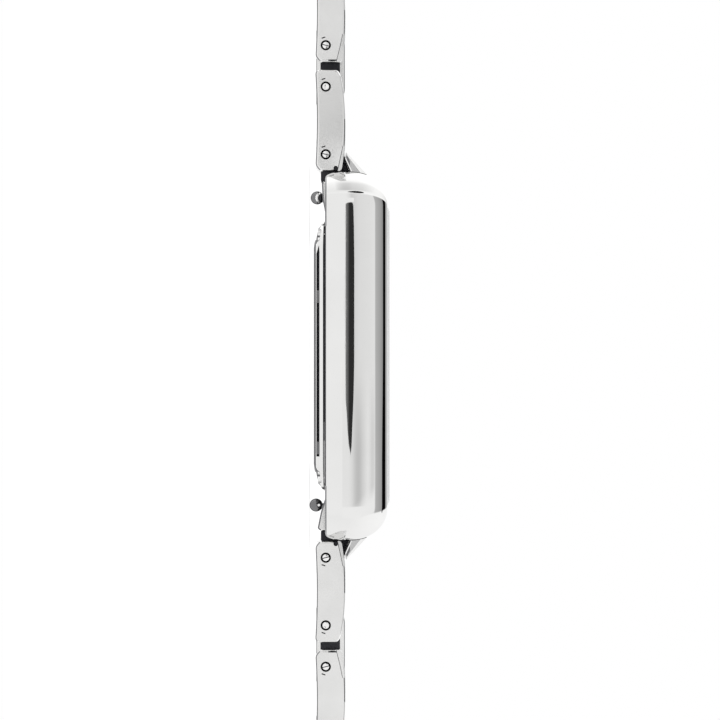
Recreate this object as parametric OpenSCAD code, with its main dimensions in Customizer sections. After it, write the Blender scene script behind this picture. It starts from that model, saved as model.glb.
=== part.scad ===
// Rectangular wristwatch on an H-link bracelet, lying flat on its back cover with the bracelet open and straight.
// Millimetres. Origin at the centre of the back cover's outer face, +Z out of the crystal, +Y to 12 o'clock,
// +X to the crown.

/* [Case] */
// Length of the case along the bracelet
case_l = 32; // [31:0.5:36]
// Width of the case across the wrist
case_w = 22; // [21.6:0.2:26]
// Height of the case from its back plane to its front rim
case_h = 5.4; // [5.4:0.1:6]
// Plan radius of the case corners
case_r = 3; // [2.8:0.1:3.6]
// Inset of the front rim from the flanks
rim_inset = 2.6; // [2.4:0.1:2.7]
// Inset of the back plane's edge from the flanks
foot_inset = 0.75; // [0.5:0.05:0.9]
// Flank from the case's side to the opening for the movement
side_wall = 4.2; // [4:0.1:4.3]
// Wall between the movement and the pocket of an end link
pocket_wall = 1.2; // [1:0.1:1.4]

/* [Crystal and dial] */
// Thickness of the crystal
crystal_t = 1.27; // [1:0.01:1.3]
// How far the crystal stands over the rim
crystal_proud = 0.17; // [0.1:0.01:0.3]
// Land of the rim round the crystal
rim_land = 0.4; // [0.3:0.05:0.5]
// Room for the hands between dial and crystal
hand_room = 1; // [1:0.05:1.3]
// Thickness of the dial
dial_t = 0.4; // [0.3:0.05:0.45]
// Width of an hour marker
marker_w = 0.45; // [0.3:0.05:0.6]
// Length of an hour marker
marker_l = 1.9; // [1.2:0.1:2.2]

/* [Back cover] */
// Thickness of the back cover
cover_t = 1; // [0.9:0.05:1.1]
// Land of the cover beyond the opening, at the sides
cover_land_w = 1.5; // [1.3:0.1:1.7]
// Land of the cover beyond the opening, at the ends
cover_land_l = 1; // [0.9:0.05:1.05]
// Plan radius of the cover's corners
cover_r = 2.4; // [2.35:0.05:2.6]
// Inset of the cover's flat face from its edge
cover_bevel = 2.3; // [2:0.05:2.3]

/* [Crown] */
// Diameter of the crown
crown_d = 3.2; // [2.8:0.1:3.6]
// Length of the crown
crown_l = 1.85; // [1.6:0.05:2.2]
// Number of flutes round the crown
crown_flutes = 24; // [16:2:32]
// How far the crown pulls out
crown_pull = 0.5; // [0.4:0.05:0.5]

/* [Bracelet] */
// Width of the bracelet
bracelet_w = 14; // [13:0.5:14]
// Number of outer links a side
outer_links = 5; // [5:1:5]
// Distance between the two pins of an outer link
pin_span = 5.9; // [5.6:0.1:6.4]
// Distance between the two pins of a centre link
centre_span = 3.6; // [3.6:0.1:4.2]
// Gap between the ends of two outer links
link_gap = 0.68; // [0.68:0.02:0.9]
// Width of an outer link's plate
plate_w = 3.8; // [3.4:0.1:4]
// Height of the pins over the ground
pin_z = 1.05; // [1:0.01:1.1]
// Height of a link's crown over its pins
link_crown = 1.69; // [1.65:0.01:1.72]
// Depth of a link below its pins
link_drop = 0.93; // [0.85:0.01:0.95]
// Diameter of a bracelet pin
pin_d = 0.8; // [0.7:0.05:0.85]

/* [End links] */
// From the end of the case to the spring bar
bar_inset = 2.7; // [2.6:0.05:2.8]
// Height of the spring bar over the back plane
bar_h = 1; // [0.95:0.05:1.1]
// From the end of the case to the end link's own pin
end_pin_reach = 1.56; // [1.5:0.02:1.7]
// Diameter of the spring bar's tube
bar_d = 1.3; // [1.2:0.05:1.3]
// Length of the spring bar's tips beyond the pocket
tip_reach = 1.3; // [1:0.1:1.5]
// Diameter of a quick-release knob
knob_d = 1.15; // [1:0.05:1.2]
// How far a quick-release pin slides
release_travel = 1.1; // [1:0.05:1.1]

/* [Clasp] */
// Length of the clasp from its pin to its free end
clasp_l = 30; // [26:0.5:32]
// Length of the catch link from its pin to its crossbar
catch_l = 8.6; // [8.2:0.1:9.4]
// Thickness of the clasp's folded sheet
sheet_t = 0.7; // [0.6:0.05:0.8]

/* [Movement] */
// Wall of the movement holder along the sides
holder_wall = 0.6; // [0.5:0.05:0.7]
// Wall of the movement holder at the ends
holder_end_wall = 1.7; // [1.5:0.1:1.8]
// Thickness of the battery
battery_t = 2.1; // [1.9:0.05:2.1]
// Size of the gear teeth
gear_module = 0.1; // [0.09:0.01:0.1]
// Hour that the hands show
show_hour = 10; // [0:1:11]
// Minute that the hands show
show_minute = 9; // [0:1:59]

/* [Hidden] */
$fn = 48;
corner_fn = 24;
cut = 0.5;
hull_skin = 0.01;
slide_fit = 0.03;
seat_fit = 0.05;

// Heights over the ground, from the back cover up
back_z = cover_t;
rim_z = back_z + case_h;
crystal_z = rim_z + crystal_proud - crystal_t;
dial_top = crystal_z - hand_room;
dial_z = dial_top - dial_t;

// Outlines of the case's edge, in shares of an inset and of the case's height
foot_shares = [[1, 0], [0.57, 0.008], [0.293, 0.044], [0.117, 0.109], [0.021, 0.209]];
shoulder_shares = [
    [0, 0.352], [0.017, 0.503], [0.067, 0.617], [0.199, 0.76], [0.388, 0.871], [0.616, 0.949], [0.825, 0.988], [1, 1]
];
case_outline = concat(
    [for (s = foot_shares) [foot_inset * s[0], case_h * s[1]]],
    [for (s = shoulder_shares) [rim_inset * s[0], case_h * s[1]]]
);

// Spring bar and the pocket that an end link swings in
bar_y = case_l / 2 - bar_inset;
bar_z = back_z + bar_h;
barrel_r = 0.95;
pocket_back = 1.3;
pocket_top = 1.3;
pocket_gap = 0.3;
pocket_y = bar_y - pocket_back;
pocket_w = bracelet_w + 2 * pocket_gap;

// Opening for the movement, dial cavity and crystal seat
opening_l = 2 * (pocket_y - pocket_wall);
opening_w = case_w - 2 * side_wall;
opening_r = 1.5;
crystal_l = case_l - 2 * (rim_inset + rim_land);
crystal_w = case_w - 2 * (rim_inset + rim_land);
crystal_r = 0.9;
crystal_ledge = 0.35;
crystal_bevel = 0.3;
crystal_shares = [[0, 0], [0, 0.86], [0.4, 0.95], [1, 1]];
cavity_l = crystal_l - 2 * crystal_ledge;
cavity_w = crystal_w - 2 * crystal_ledge;
cavity_r = 0.6;
dial_fit = 0.1;
dial_l = cavity_l - 2 * dial_fit;
dial_w = cavity_w - 2 * dial_fit;
dial_hole_r = 0.75;

// Hour markers on a rectangular track
marker_t = 0.2;
marker_margin = 1.25;
marker_twin = 0.35;

// Back cover, its plug, gasket and screws
cover_l = opening_l + 2 * cover_land_l;
cover_w = opening_w + 2 * cover_land_w;
cover_shares = [[1, 0], [0.7, 0.07], [0.065, 0.55], [0, 1]];
plug_gap = 0.5;
plug_wall = 0.5;
plug_h = 0.3;
gasket_fit = 0.03;
screw_in = 0.4;
screw_out = 0.2;
screw_head_r = 0.6;
screw_head_z = 0.35;
screw_head_t = 0.4;
screw_r = 0.3;
screw_l = 1.45;
slot_w = 0.18;
slot_deep = 0.2;

// Crown, its tube and the stem
crown_drop = 0.7;
crown_z = dial_z - crown_drop;
crown_gap = 0.15;
crown_wall = 0.65;
crown_top_t = 0.8;
flute_deep = 0.12;
flute_shares = [0, 0.22, 0.5, 0.72];
tube_r = 0.8;
tube_bore_r = 0.52;
tube_in = 1.6;
tube_out = 0.6;
stem_r = 0.45;
stem_in = 2.2;
groove_in = 1.6;
groove_w = 0.5;
groove_r = 0.28;

// Movement, from the dial side down
movement_l = opening_l - 2 * holder_end_wall;
movement_w = opening_w - 2 * holder_wall;
stem_in_x = movement_w / 2 - stem_in;
groove_x = movement_w / 2 - groove_in;
works_h = 1.3;
main_t = 0.7;
bridge_t = 0.4;
board_t = 0.15;
main_top = dial_z - works_h;
main_z = main_top - main_t;
bridge_z = main_z - bridge_t;
board_z = bridge_z - board_t;
battery_gap = 0.15;
battery_fit = 0.1;
battery_edge = 0.5;
battery_margin = 2.8;
cell_rim_share = 0.85;
cell_cap_share = 0.86;
battery_z = back_z + battery_gap;
movement_r = 0.8;
holder_gap = 0.05;
bridge_edge = 0.3;
board_edge = 0.5;
board_arm_w = 1.7;
board_arm_l = 7.4;
coil_r = 0.5;
coil_margin = 2.4;
coil_l = movement_w - 2 * coil_margin;
coil_flange_r = 0.58;
coil_flange_t = 0.3;
coil_in = 2.5;
coil_y = movement_l / 2 - coil_in;
block_t = 0.3;
block_w = 2;
block_h = 1.2;
lever_t = 0.26;
lever_plate_t = 0.3;
lever_plate_y = 1.1;
lever_plate_w = 1.1;
lever_arm_h = 1.02;
lever_half = 0.65;
lever_slot_r = 0.33;

// Motion works: teeth of each wheel
cannon_teeth = 10;
minute_teeth = 30;
pinion_teeth = 8;
hour_teeth = 32;
works_distance = gear_module * (cannon_teeth + minute_teeth) / 2;
works_angle = 135;
tooth_shares = [-0.26, -0.1, 0.1, 0.26];
tooth_over_share = 0.8;
tooth_under_share = 1.1;
gear_t = 0.24;
pinion_h = 0.62;
post_r = 0.17;
cannon_r = 0.33;
hour_tube_r = 0.6;
cannon_lift = 0.15;
hour_gear_lift = 0.78;
hand_t = 0.12;
hour_hand_lift = 0.4;
minute_hand_lift = 0.7;
minute_hand_margin = 0.95;
hour_hand_share = 0.66;
hour_hub_r = 0.95;
minute_hub_r = 0.62;
hand_base_w = 0.62;
hand_tip_w = 0.2;
hand_tail = 1.1;
tube_over = 0.03;
minute_hand_l = dial_w / 2 - minute_hand_margin;
wheel_room = gear_module * (hour_teeth / 2 + 1) + battery_fit;
battery_d = min(movement_l / 2 - wheel_room - battery_edge, movement_w - 2 * battery_margin);
battery_y = -wheel_room - battery_d / 2;

// Bracelet links
link_pitch = pin_span + centre_span;
outer_l = link_pitch - link_gap;
end_pin_y = case_l / 2 + end_pin_reach;
plate_x = bracelet_w / 2 - plate_w;
plate_bevel = 0.25;
plate_dish = 0.15;
plate_middle = pin_span / 2;
near_end_lift = 0.45;
near_end_cut = 0.5;
front_shares = [
    [1, 0.7], [0.93, 0.82], [0.68, 0.925], [0.35, 0.985], [0, 1],
    [-0.35, 0.985], [-0.68, 0.925], [-0.93, 0.82], [-1, 0.75]
];
dish_shares = [[-1, 0], [-0.8, 0.36], [-0.5, 0.75], [-0.25, 0.94], [0, 1], [0.25, 0.94], [0.5, 0.75], [0.8, 0.36], [1, 0]];
knuckle_gap = 0.15;
knuckle_r = 1.65;
knuckle_drop = 0.85;
centre_gap = 0.1;
centre_w = 2 * (plate_x - centre_gap);
bar_from_pin = knuckle_r + knuckle_gap;
crossbar_l = pin_span - 2 * bar_from_pin;
crossbar_drop = 0.7;
crossbar_top_share = 0.97;
crossbar_round = 0.2;
pin_bore_r = pin_d / 2 + seat_fit;
pin_head = 0.08;
pin_short = 0.05;
mark_r = 0.19;
mark_deep = 0.3;
mark_back = 1.2;
mark_lift = 0.85;

// End link, in places from the spring bar or from its own pin
bar_bore_r = bar_d / 2 + seat_fit;
flap_in = 0.95;
flap_in_drop = 0.98;
flap_out = 2.15;
flap_out_drop = 1.46;
flap_end = 2.3;
flap_end_drop = 1.3;
flap_root_drop = 0.4;
neck_drop = 0.45;
neck_y = 1.36;
neck_top = 0.85;
web_y = 1.48;
web_top = 2.13;
hood_tip_y = 0.18;
hood_tip_z = 1.8;
hood_lip_y = 0.05;
hood_lip_z = 1.73;
hood_root_y = 1.41;
hood_root_z = 2.13;
hood_top_y = 1.86;
hood_top_z = 3.61;
hood_gap = 0.08;
tip_r = 0.4;
tip_over = 0.15;
tip_plug = 1.1;
bar_bore = tip_r + slide_fit;
lever_x = 4.6;
lever_r = 0.25;
lever_l_12 = 1.78;
lever_l_6 = 1.83;
lever_swing_12 = 16.7;
lever_swing_6 = -8.8;
release_rod_in = 0.5;
release_slot = 0.5;
slot_narrow = 0.45;
slot_wide = 1.05;
slot_drop = 1.75;
ear_bore_r = 0.45;
ear_bore_over = 0.15;

// Clasp
base_drop = 0.8;
base_start = 2.4;
hinge_t = 3.9;
hinge_up = 0.5;
hinge_pin_r = 0.35;
lug_r = 0.6;
lug_w = 1.5;
lid_t = 0.5;
lid_side = 0.1;
skirt_t = 0.5;
skirt_drop = 0.6;
skirt_end_r = 0.95;
lid_over = 0.4;
lip_drop = 0.65;
lip_t = 0.35;
clasp_w = bracelet_w;
base_w = clasp_w - 2 * (skirt_t + lid_side);
hook_w = 4.4;
hook_from_end = 6.3;
hook_post_t = 0.7;
hook_reach = 1.6;
hook_t = 0.35;
hook_h = 1.15;
catch_bar_r = 0.38;
catch_bar_up = 0.32;
catch_w = 9.8;
catch_rail = 1;
catch_root = 2.2;
catch_window = 3.6;
catch_drop = 0.6;
catch_t = 1;
clasp_y = pin_y(outer_links - 1) + pin_span;

SIDES = ["12", "6"];
OUTER = [for (side = SIDES, i = [1:outer_links]) str("outer_link_", side, "_", i)];
CENTRE = [for (side = SIDES, i = [1:outer_links - 1]) str("centre_link_", side, "_", i)];
PINS = [for (side = SIDES, i = [1:outer_links]) str("link_pins_", side, "_", i)];

// Extrudes an outline drawn in Y and Z by a width along X, centred
module along_x(width) {
    rotate([90, 0, 90])
        linear_extrude(width, center = true)
            children();
}

// Round bar along X, centred
module x_bar(r, width) {
    rotate([0, 90, 0])
        cylinder(r = r, h = width, center = true);
}

// Box with round upright corners, standing on z = 0
module rounded_plate(l, w, r, h) {
    translate([-w / 2 + r, -l / 2, 0])
        cube([w - 2 * r, l, h]);
    translate([-w / 2, -l / 2 + r, 0])
        cube([w, l - 2 * r, h]);
    for (sx = [-1, 1], sy = [-1, 1])
        translate([sx * (w / 2 - r), sy * (l / 2 - r), 0])
            cylinder(r = r, h = h);
}

// Rounded rectangle whose edge follows an outline of [inset, height] points
module edge_form(l, w, r, outline) {
    last = len(outline) - 1;
    hull()
        for (sx = [-1, 1], sy = [-1, 1])
            translate([sx * (w / 2 - r), sy * (l / 2 - r), 0])
                rotate_extrude($fn = corner_fn)
                    polygon(concat(
                        [for (p = outline) [r - p[0], p[1]]],
                        [[0, outline[last][1]], [0, outline[0][1]]]
                    ));
}

// Ring between two rounded rectangles, standing on z = 0
module rounded_ring(l, w, r, wall, h) {
    difference() {
        rounded_plate(l, w, r, h);
        translate([0, 0, -cut])
            rounded_plate(l - 2 * wall, w - 2 * wall, max(r - wall, wall / 2), h + 2 * cut);
    }
}

// Turns a piece modelled at the 12 o'clock end to the side that it belongs to
module at_side(side) {
    mirror([0, side == "6" ? 1 : 0, 0])
        children();
}

function pin_y(i) = end_pin_y + i * link_pitch;

// Case
module case_form(grow) {
    translate([0, 0, back_z])
        edge_form(case_l + 2 * grow, case_w + 2 * grow, case_r + grow, case_outline);
}

module end_pocket() {
    translate([-pocket_w / 2, pocket_y, back_z - cut])
        cube([pocket_w, case_l / 2 - pocket_y + cut, bar_z + pocket_top - back_z + cut]);
    translate([0, bar_y, bar_z])
        x_bar(ear_bore_r, pocket_w + 2 * (tip_reach + ear_bore_over));
}

module screw_places() {
    x = opening_w / 2 + screw_out;
    y = opening_l / 2 - screw_in;
    for (sx = [-1, 1], sy = [-1, 1])
        translate([sx * x, sy * y, 0])
            children();
}

module case_body() {
    color("lightsteelblue")
        difference() {
            case_form(0);
            translate([0, 0, back_z - cut])
                rounded_plate(opening_l, opening_w, opening_r, dial_z - back_z + 2 * cut);
            translate([0, 0, dial_z])
                rounded_plate(cavity_l, cavity_w, cavity_r, crystal_z - dial_z + cut);
            translate([0, 0, crystal_z])
                rounded_plate(crystal_l + 2 * seat_fit, crystal_w + 2 * seat_fit, crystal_r, crystal_t);
            for (side = SIDES)
                at_side(side)
                    end_pocket();
            translate([0, 0, crown_z])
                rotate([0, 90, 0])
                    cylinder(r = tube_bore_r, h = case_w);
            translate([case_w / 2 - tube_in, 0, crown_z])
                rotate([0, 90, 0])
                    cylinder(r = tube_r + hull_skin, h = tube_in + cut);
            translate([0, 0, back_z - cut])
                screw_places()
                    cylinder(r = screw_r + slide_fit, h = screw_l + cut);
        }
}

module crystal() {
    color("lightcyan", 0.4)
        translate([0, 0, crystal_z])
            edge_form(crystal_l, crystal_w, crystal_r,
                [for (s = crystal_shares) [crystal_bevel * s[0], crystal_t * s[1]]]);
}

module dial() {
    color("ivory")
        difference() {
            translate([0, 0, dial_z])
                rounded_plate(dial_l, dial_w, cavity_r, dial_t);
            cylinder(r = dial_hole_r, h = rim_z);
        }
}

// Where the ray of an hour meets the rectangular track
function track_point(angle, x, y) =
    let (s = abs(sin(angle)), c = abs(cos(angle)))
    let (reach = min(s > 0 ? x / max(s, c * x / y) : y, c > 0 ? y / max(c, s * y / x) : x))
    [reach * sin(angle), reach * cos(angle)];

module marker(length) {
    translate([-marker_w / 2, -length / 2, 0])
        cube([marker_w, length, marker_t]);
}

module hour_markers() {
    track_x = dial_w / 2 - marker_margin - marker_l / 2 + marker_w;
    track_y = dial_l / 2 - marker_margin - marker_l / 2 + marker_w;
    color("silver")
        for (hour = [0:11])
            translate(concat(track_point(30 * hour, track_x, track_y), [dial_top]))
                rotate([0, 0, -30 * hour])
                    if (hour == 0)
                        for (s = [-1, 1])
                            translate([s * marker_twin, 0, 0])
                                marker(marker_l);
                    else
                        marker(marker_l);
}

// Back cover with its plug, gasket and screws
module back_cover() {
    plug_l = opening_l - 2 * plug_gap;
    plug_w = opening_w - 2 * plug_gap;
    color("silver")
        difference() {
            union() {
                edge_form(cover_l, cover_w, cover_r,
                    [for (s = cover_shares) [cover_bevel * s[0], cover_t * s[1]]]);
                translate([0, 0, cover_t])
                    rounded_ring(plug_l, plug_w, opening_r - plug_gap, plug_wall, plug_h);
            }
            screw_places() {
                translate([0, 0, -cut])
                    cylinder(r = screw_r + seat_fit, h = cover_t + 2 * cut);
                translate([0, 0, -cut])
                    cylinder(r = screw_head_r + seat_fit, h = screw_head_z + screw_head_t + cut);
            }
        }
}

module back_gasket() {
    color("dimgray")
        translate([0, 0, cover_t])
            rounded_ring(
                opening_l - 2 * gasket_fit, opening_w - 2 * gasket_fit, opening_r,
                plug_gap - 2 * gasket_fit, plug_h
            );
}

module case_screws() {
    color("gray")
        screw_places()
            difference() {
                union() {
                    translate([0, 0, screw_head_z])
                        cylinder(r = screw_head_r, h = screw_head_t);
                    translate([0, 0, screw_head_z])
                        cylinder(r = screw_r, h = back_z - screw_head_z + screw_l - slide_fit);
                }
                translate([-screw_head_r, -slot_w / 2, screw_head_z - cut])
                    cube([2 * screw_head_r, slot_w, slot_deep + cut]);
            }
}

// Crown group
module crown_tube() {
    color("silver")
        translate([case_w / 2 - tube_in, 0, crown_z])
            rotate([0, 90, 0])
                difference() {
                    cylinder(r = tube_r, h = tube_in + tube_out);
                    translate([0, 0, -cut])
                        cylinder(r = tube_bore_r, h = tube_in + tube_out + 2 * cut);
                }
}

function fluted(r, count) = [
    for (i = [0:count - 1], k = [0:3])
        let (radius = r - (k < 2 ? 0 : flute_deep), angle = 360 * (i + flute_shares[k]) / count)
        [radius * cos(angle), radius * sin(angle)]
];

module crown() {
    color("silver")
        translate([case_w / 2 + crown_gap, 0, crown_z])
            rotate([0, 90, 0])
                difference() {
                    intersection() {
                        linear_extrude(crown_l)
                            polygon(fluted(crown_d / 2, crown_flutes));
                        rotate_extrude()
                            polygon([
                                [0, 0], [crown_d / 2 - flute_deep, 0], [crown_d / 2, flute_deep],
                                [crown_d / 2, crown_l - 2 * flute_deep],
                                [crown_d / 2 - 2 * flute_deep, crown_l - flute_deep / 2], [0, crown_l]
                            ]);
                    }
                    translate([0, 0, -cut])
                        cylinder(r = crown_d / 2 - crown_wall, h = crown_l - crown_top_t + cut);
                }
}

module winding_stem() {
    end_x = case_w / 2 + crown_gap + crown_l - crown_top_t;
    color("gray")
        translate([0, 0, crown_z])
            rotate([0, 90, 0]) {
                translate([0, 0, stem_in_x])
                    cylinder(r = stem_r, h = groove_x - stem_in_x);
                translate([0, 0, groove_x])
                    cylinder(r = groove_r, h = groove_w);
                translate([0, 0, groove_x + groove_w])
                    cylinder(r = stem_r, h = end_x - groove_x - groove_w);
            }
}

module setting_lever() {
    fork_x = groove_x + (groove_w - lever_t) / 2;
    fork_z = main_top + seat_fit;
    lever_plate_x = movement_w / 2 - crown_pull - seat_fit - fork_x;
    color("goldenrod")
        difference() {
            union() {
                translate([fork_x, -lever_half, fork_z])
                    cube([lever_t, lever_half + lever_plate_y + lever_plate_w, lever_arm_h]);
                translate([fork_x, lever_plate_y, fork_z])
                    cube([lever_plate_x, lever_plate_w, lever_plate_t]);
            }
            translate([fork_x + lever_t / 2, 0, crown_z])
                x_bar(lever_slot_r, 2 * lever_t);
            translate([fork_x - cut / 2, -lever_slot_r, crown_z])
                cube([lever_t + cut, 2 * lever_slot_r, lever_arm_h]);
        }
}

// Movement
module movement_holder() {
    color("whitesmoke")
        difference() {
            translate([0, 0, cover_t + plug_h + holder_gap])
                rounded_plate(
                    opening_l - 2 * holder_gap, opening_w - 2 * holder_gap, opening_r - holder_gap,
                    dial_z - cover_t - plug_h - 2 * holder_gap
                );
            rounded_plate(movement_l + 2 * holder_gap, movement_w + 2 * holder_gap, movement_r, rim_z);
            translate([0, 0, crown_z])
                rotate([0, 90, 0])
                    cylinder(r = tube_bore_r, h = case_w);
        }
}

module works_post(h) {
    translate([0, 0, main_top])
        cylinder(r = post_r, h = h);
}

module main_plate() {
    block_x = movement_w / 2 - block_t;
    color("gold")
        difference() {
            union() {
                translate([0, 0, main_z])
                    rounded_plate(movement_l, movement_w, movement_r, main_t);
                works_post(dial_top + minute_hand_lift - main_top);
                rotate([0, 0, works_angle])
                    translate([works_distance, 0, 0])
                        works_post(cannon_lift + gear_t + pinion_h);
                translate([block_x, -block_w / 2, main_top])
                    cube([block_t, block_w, block_h]);
            }
            translate([0, battery_y, 0])
                cylinder(r = battery_d / 2 + battery_fit, h = rim_z);
            translate([block_x, 0, crown_z])
                x_bar(stem_r + slide_fit, 2 * block_w);
        }
}

module train_bridge() {
    l = movement_l / 2 - 2 * bridge_edge;
    color("silver")
        translate([0, bridge_edge + l / 2, bridge_z])
            rounded_plate(l, movement_w - 2 * bridge_edge, movement_r, bridge_t);
}

module circuit_board() {
    l = movement_l / 2 - bridge_edge - 2 * board_edge;
    w = movement_w - 2 * board_edge;
    color("darkgreen")
        translate([0, 0, board_z]) {
            translate([0, bridge_edge + board_edge + l / 2, 0])
                rounded_plate(l, w, movement_r, board_t);
            translate([w / 2 - board_arm_w, bridge_edge + board_edge + movement_r - board_arm_l, 0])
                cube([board_arm_w, board_arm_l, board_t]);
        }
}

module coil() {
    color("darkorange")
        translate([0, coil_y, main_top + coil_flange_r]) {
            x_bar(coil_r, coil_l);
            for (s = [-1, 1])
                translate([s * (coil_l - coil_flange_t) / 2, 0, 0])
                    x_bar(coil_flange_r, coil_flange_t);
        }
}

module battery() {
    color("silver")
        translate([0, battery_y, battery_z]) {
            cylinder(r = battery_d / 2, h = battery_t * cell_rim_share);
            cylinder(r = battery_d / 2 * cell_cap_share, h = battery_t);
        }
}

// Toothed wheel: trapezoid teeth with backlash, the first tooth turned by a share of the pitch
module gear(teeth, thick, turn_share) {
    outer = gear_module * (teeth / 2 + tooth_over_share);
    root = gear_module * (teeth / 2 - tooth_under_share);
    linear_extrude(thick)
        polygon([
            for (i = [0:teeth - 1], k = [0:3])
                let (r = k == 0 || k == 3 ? root : outer)
                let (angle = 360 * (i + turn_share + tooth_shares[k]) / teeth)
                [r * cos(angle), r * sin(angle)]
        ]);
}

module cannon_pinion() {
    z = main_top + cannon_lift;
    color("gold")
        difference() {
            union() {
                translate([0, 0, z])
                    rotate([0, 0, works_angle])
                        gear(cannon_teeth, gear_t + tube_over, 0);
                translate([0, 0, z])
                    cylinder(r = cannon_r, h = dial_top + minute_hand_lift + hand_t + tube_over - z);
            }
            translate([0, 0, z - cut])
                cylinder(r = post_r + slide_fit, h = dial_top + minute_hand_lift + seat_fit - z + cut);
        }
}

module minute_wheel() {
    color("gold")
        rotate([0, 0, works_angle])
            translate([works_distance, 0, main_top + cannon_lift])
                difference() {
                    union() {
                        gear(minute_teeth, gear_t, 0.5);
                        translate([0, 0, gear_t])
                            gear(pinion_teeth, pinion_h, 0);
                    }
                    translate([0, 0, -cut])
                        cylinder(r = post_r + slide_fit, h = gear_t + pinion_h + 2 * cut);
                }
}

module hour_wheel() {
    z = main_top + hour_gear_lift;
    color("gold")
        difference() {
            union() {
                translate([0, 0, z])
                    rotate([0, 0, works_angle])
                        gear(hour_teeth, gear_t, 0.5);
                translate([0, 0, z])
                    cylinder(r = hour_tube_r, h = dial_top + hour_hand_lift + hand_t + tube_over - z);
            }
            cylinder(r = cannon_r + seat_fit, h = rim_z);
        }
}

// Tapered hand with a round hub, pointing to +Y, at z = 0
module hand(length, hub_r, hole_r) {
    difference() {
        union() {
            cylinder(r = hub_r, h = hand_t);
            linear_extrude(hand_t)
                polygon([
                    [-hand_base_w / 2, -hand_tail], [hand_base_w / 2, -hand_tail],
                    [hand_tip_w / 2, length - hand_tip_w], [0, length], [-hand_tip_w / 2, length - hand_tip_w]
                ]);
        }
        translate([0, 0, -cut])
            cylinder(r = hole_r, h = hand_t + 2 * cut);
    }
}

module minute_hand() {
    color("dimgray")
        translate([0, 0, dial_top + minute_hand_lift])
            rotate([0, 0, -6 * show_minute])
                hand(minute_hand_l, minute_hub_r, cannon_r + hull_skin);
}

module hour_hand() {
    color("dimgray")
        translate([0, 0, dial_top + hour_hand_lift])
            rotate([0, 0, -30 * (show_hour + show_minute / 60)])
                hand(minute_hand_l * hour_hand_share, hour_hub_r, hour_tube_r + hull_skin);
}

// End link: barrel on the spring bar, flap under the case, neck and knuckle on its own pin, hood over the end
module hood() {
    y = end_pin_y;
    z = pin_z;
    difference() {
        along_x(bracelet_w)
            polygon([
                [y + hood_tip_y, z + hood_tip_z], [y - hood_top_y, z + hood_top_z],
                [y - hood_top_y, z + hood_root_z + hood_gap], [y - hood_root_y, z + hood_root_z],
                [y + hood_lip_y, z + hood_lip_z]
            ]);
        case_form(hood_gap);
    }
}

module release_slot_form() {
    translate([-lever_x + release_travel / 2, bar_y, bar_z])
        along_x(release_travel + 2 * release_slot)
            polygon([
                [-slot_narrow, 0], [slot_narrow, 0], [slot_wide, -slot_drop], [-slot_wide, -slot_drop]
            ]);
}

module end_link() {
    y = end_pin_y;
    z = pin_z;
    color("silver")
        difference() {
            union() {
                translate([0, bar_y, bar_z])
                    x_bar(barrel_r, bracelet_w);
                translate([0, bar_y, bar_z])
                    along_x(bracelet_w)
                        polygon([
                            [-barrel_r, -flap_root_drop], [-flap_in, -flap_in_drop],
                            [flap_out, -flap_out_drop], [flap_end, -flap_end_drop],
                            [flap_end, -flap_root_drop], [0, 0]
                        ]);
                along_x(centre_w)
                    polygon([
                        [bar_y, bar_z - flap_root_drop], [y - neck_y - knuckle_drop, z - neck_drop],
                        [y - neck_y, z - neck_drop], [y, z], [y, z + hood_lip_z],
                        [y - web_y, z + web_top], [bar_y, bar_z + neck_top]
                    ]);
                hood();
                difference() {
                    translate([0, y, z])
                        x_bar(knuckle_r, centre_w);
                    translate([-bracelet_w / 2, y - 2 * knuckle_r, z - knuckle_drop - knuckle_r])
                        cube([bracelet_w, 4 * knuckle_r, knuckle_r]);
                }
            }
            translate([0, bar_y, bar_z])
                x_bar(bar_bore_r, bracelet_w + 2 * cut);
            translate([0, y, z])
                x_bar(pin_bore_r, bracelet_w);
            release_slot_form();
        }
}

module spring_bar() {
    tube_w = bracelet_w + tip_over;
    tip_x = pocket_w / 2 + tip_reach;
    color("gray")
        difference() {
            translate([0, bar_y, bar_z])
                union() {
                    x_bar(bar_d / 2, tube_w);
                    rotate([0, 90, 0])
                        cylinder(r = tip_r, h = tip_x);
                }
            translate([-tube_w / 2 - cut, bar_y, bar_z])
                rotate([0, 90, 0])
                    cylinder(r = bar_bore, h = tube_w + cut - tip_plug);
            translate([-lever_x + release_travel / 2, bar_y, bar_z - bar_d / 2])
                cube([release_travel + 2 * release_slot, 2 * slot_narrow, bar_d], center = true);
        }
}

module release_pin(lever_l, swing) {
    tip_x = pocket_w / 2 + tip_reach;
    color("gray")
        translate([0, bar_y, bar_z]) {
            translate([-tip_x, 0, 0])
                rotate([0, 90, 0])
                    cylinder(r = tip_r, h = tip_x - lever_x + release_rod_in);
            rotate([swing, 0, 0])
                translate([-lever_x, 0, -lever_l]) {
                    cylinder(r = lever_r, h = lever_l);
                    sphere(r = knob_d / 2);
                }
        }
}

// Outer link: two plates joined by a crossbar, at y = 0 on its first pin
function plate_outline(k) = [
    for (p = concat(
        [for (s = front_shares) [s[0] * outer_l / 2, s[1] * link_crown]],
        [
            [-outer_l / 2, near_end_lift - link_drop], [near_end_cut - outer_l / 2, -link_drop],
            [outer_l / 2, -link_drop]
        ]
    )) [plate_middle + k * p[0], k * p[1]]
];

module link_plate() {
    hull() {
        translate([plate_x + (plate_w - plate_bevel) / 2, 0, 0])
            along_x(plate_w - plate_bevel)
                polygon(plate_outline(1));
        translate([plate_x + plate_w - hull_skin / 2, 0, 0])
            along_x(hull_skin)
                polygon(plate_outline(1 - 2 * plate_bevel / outer_l));
    }
}

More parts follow.
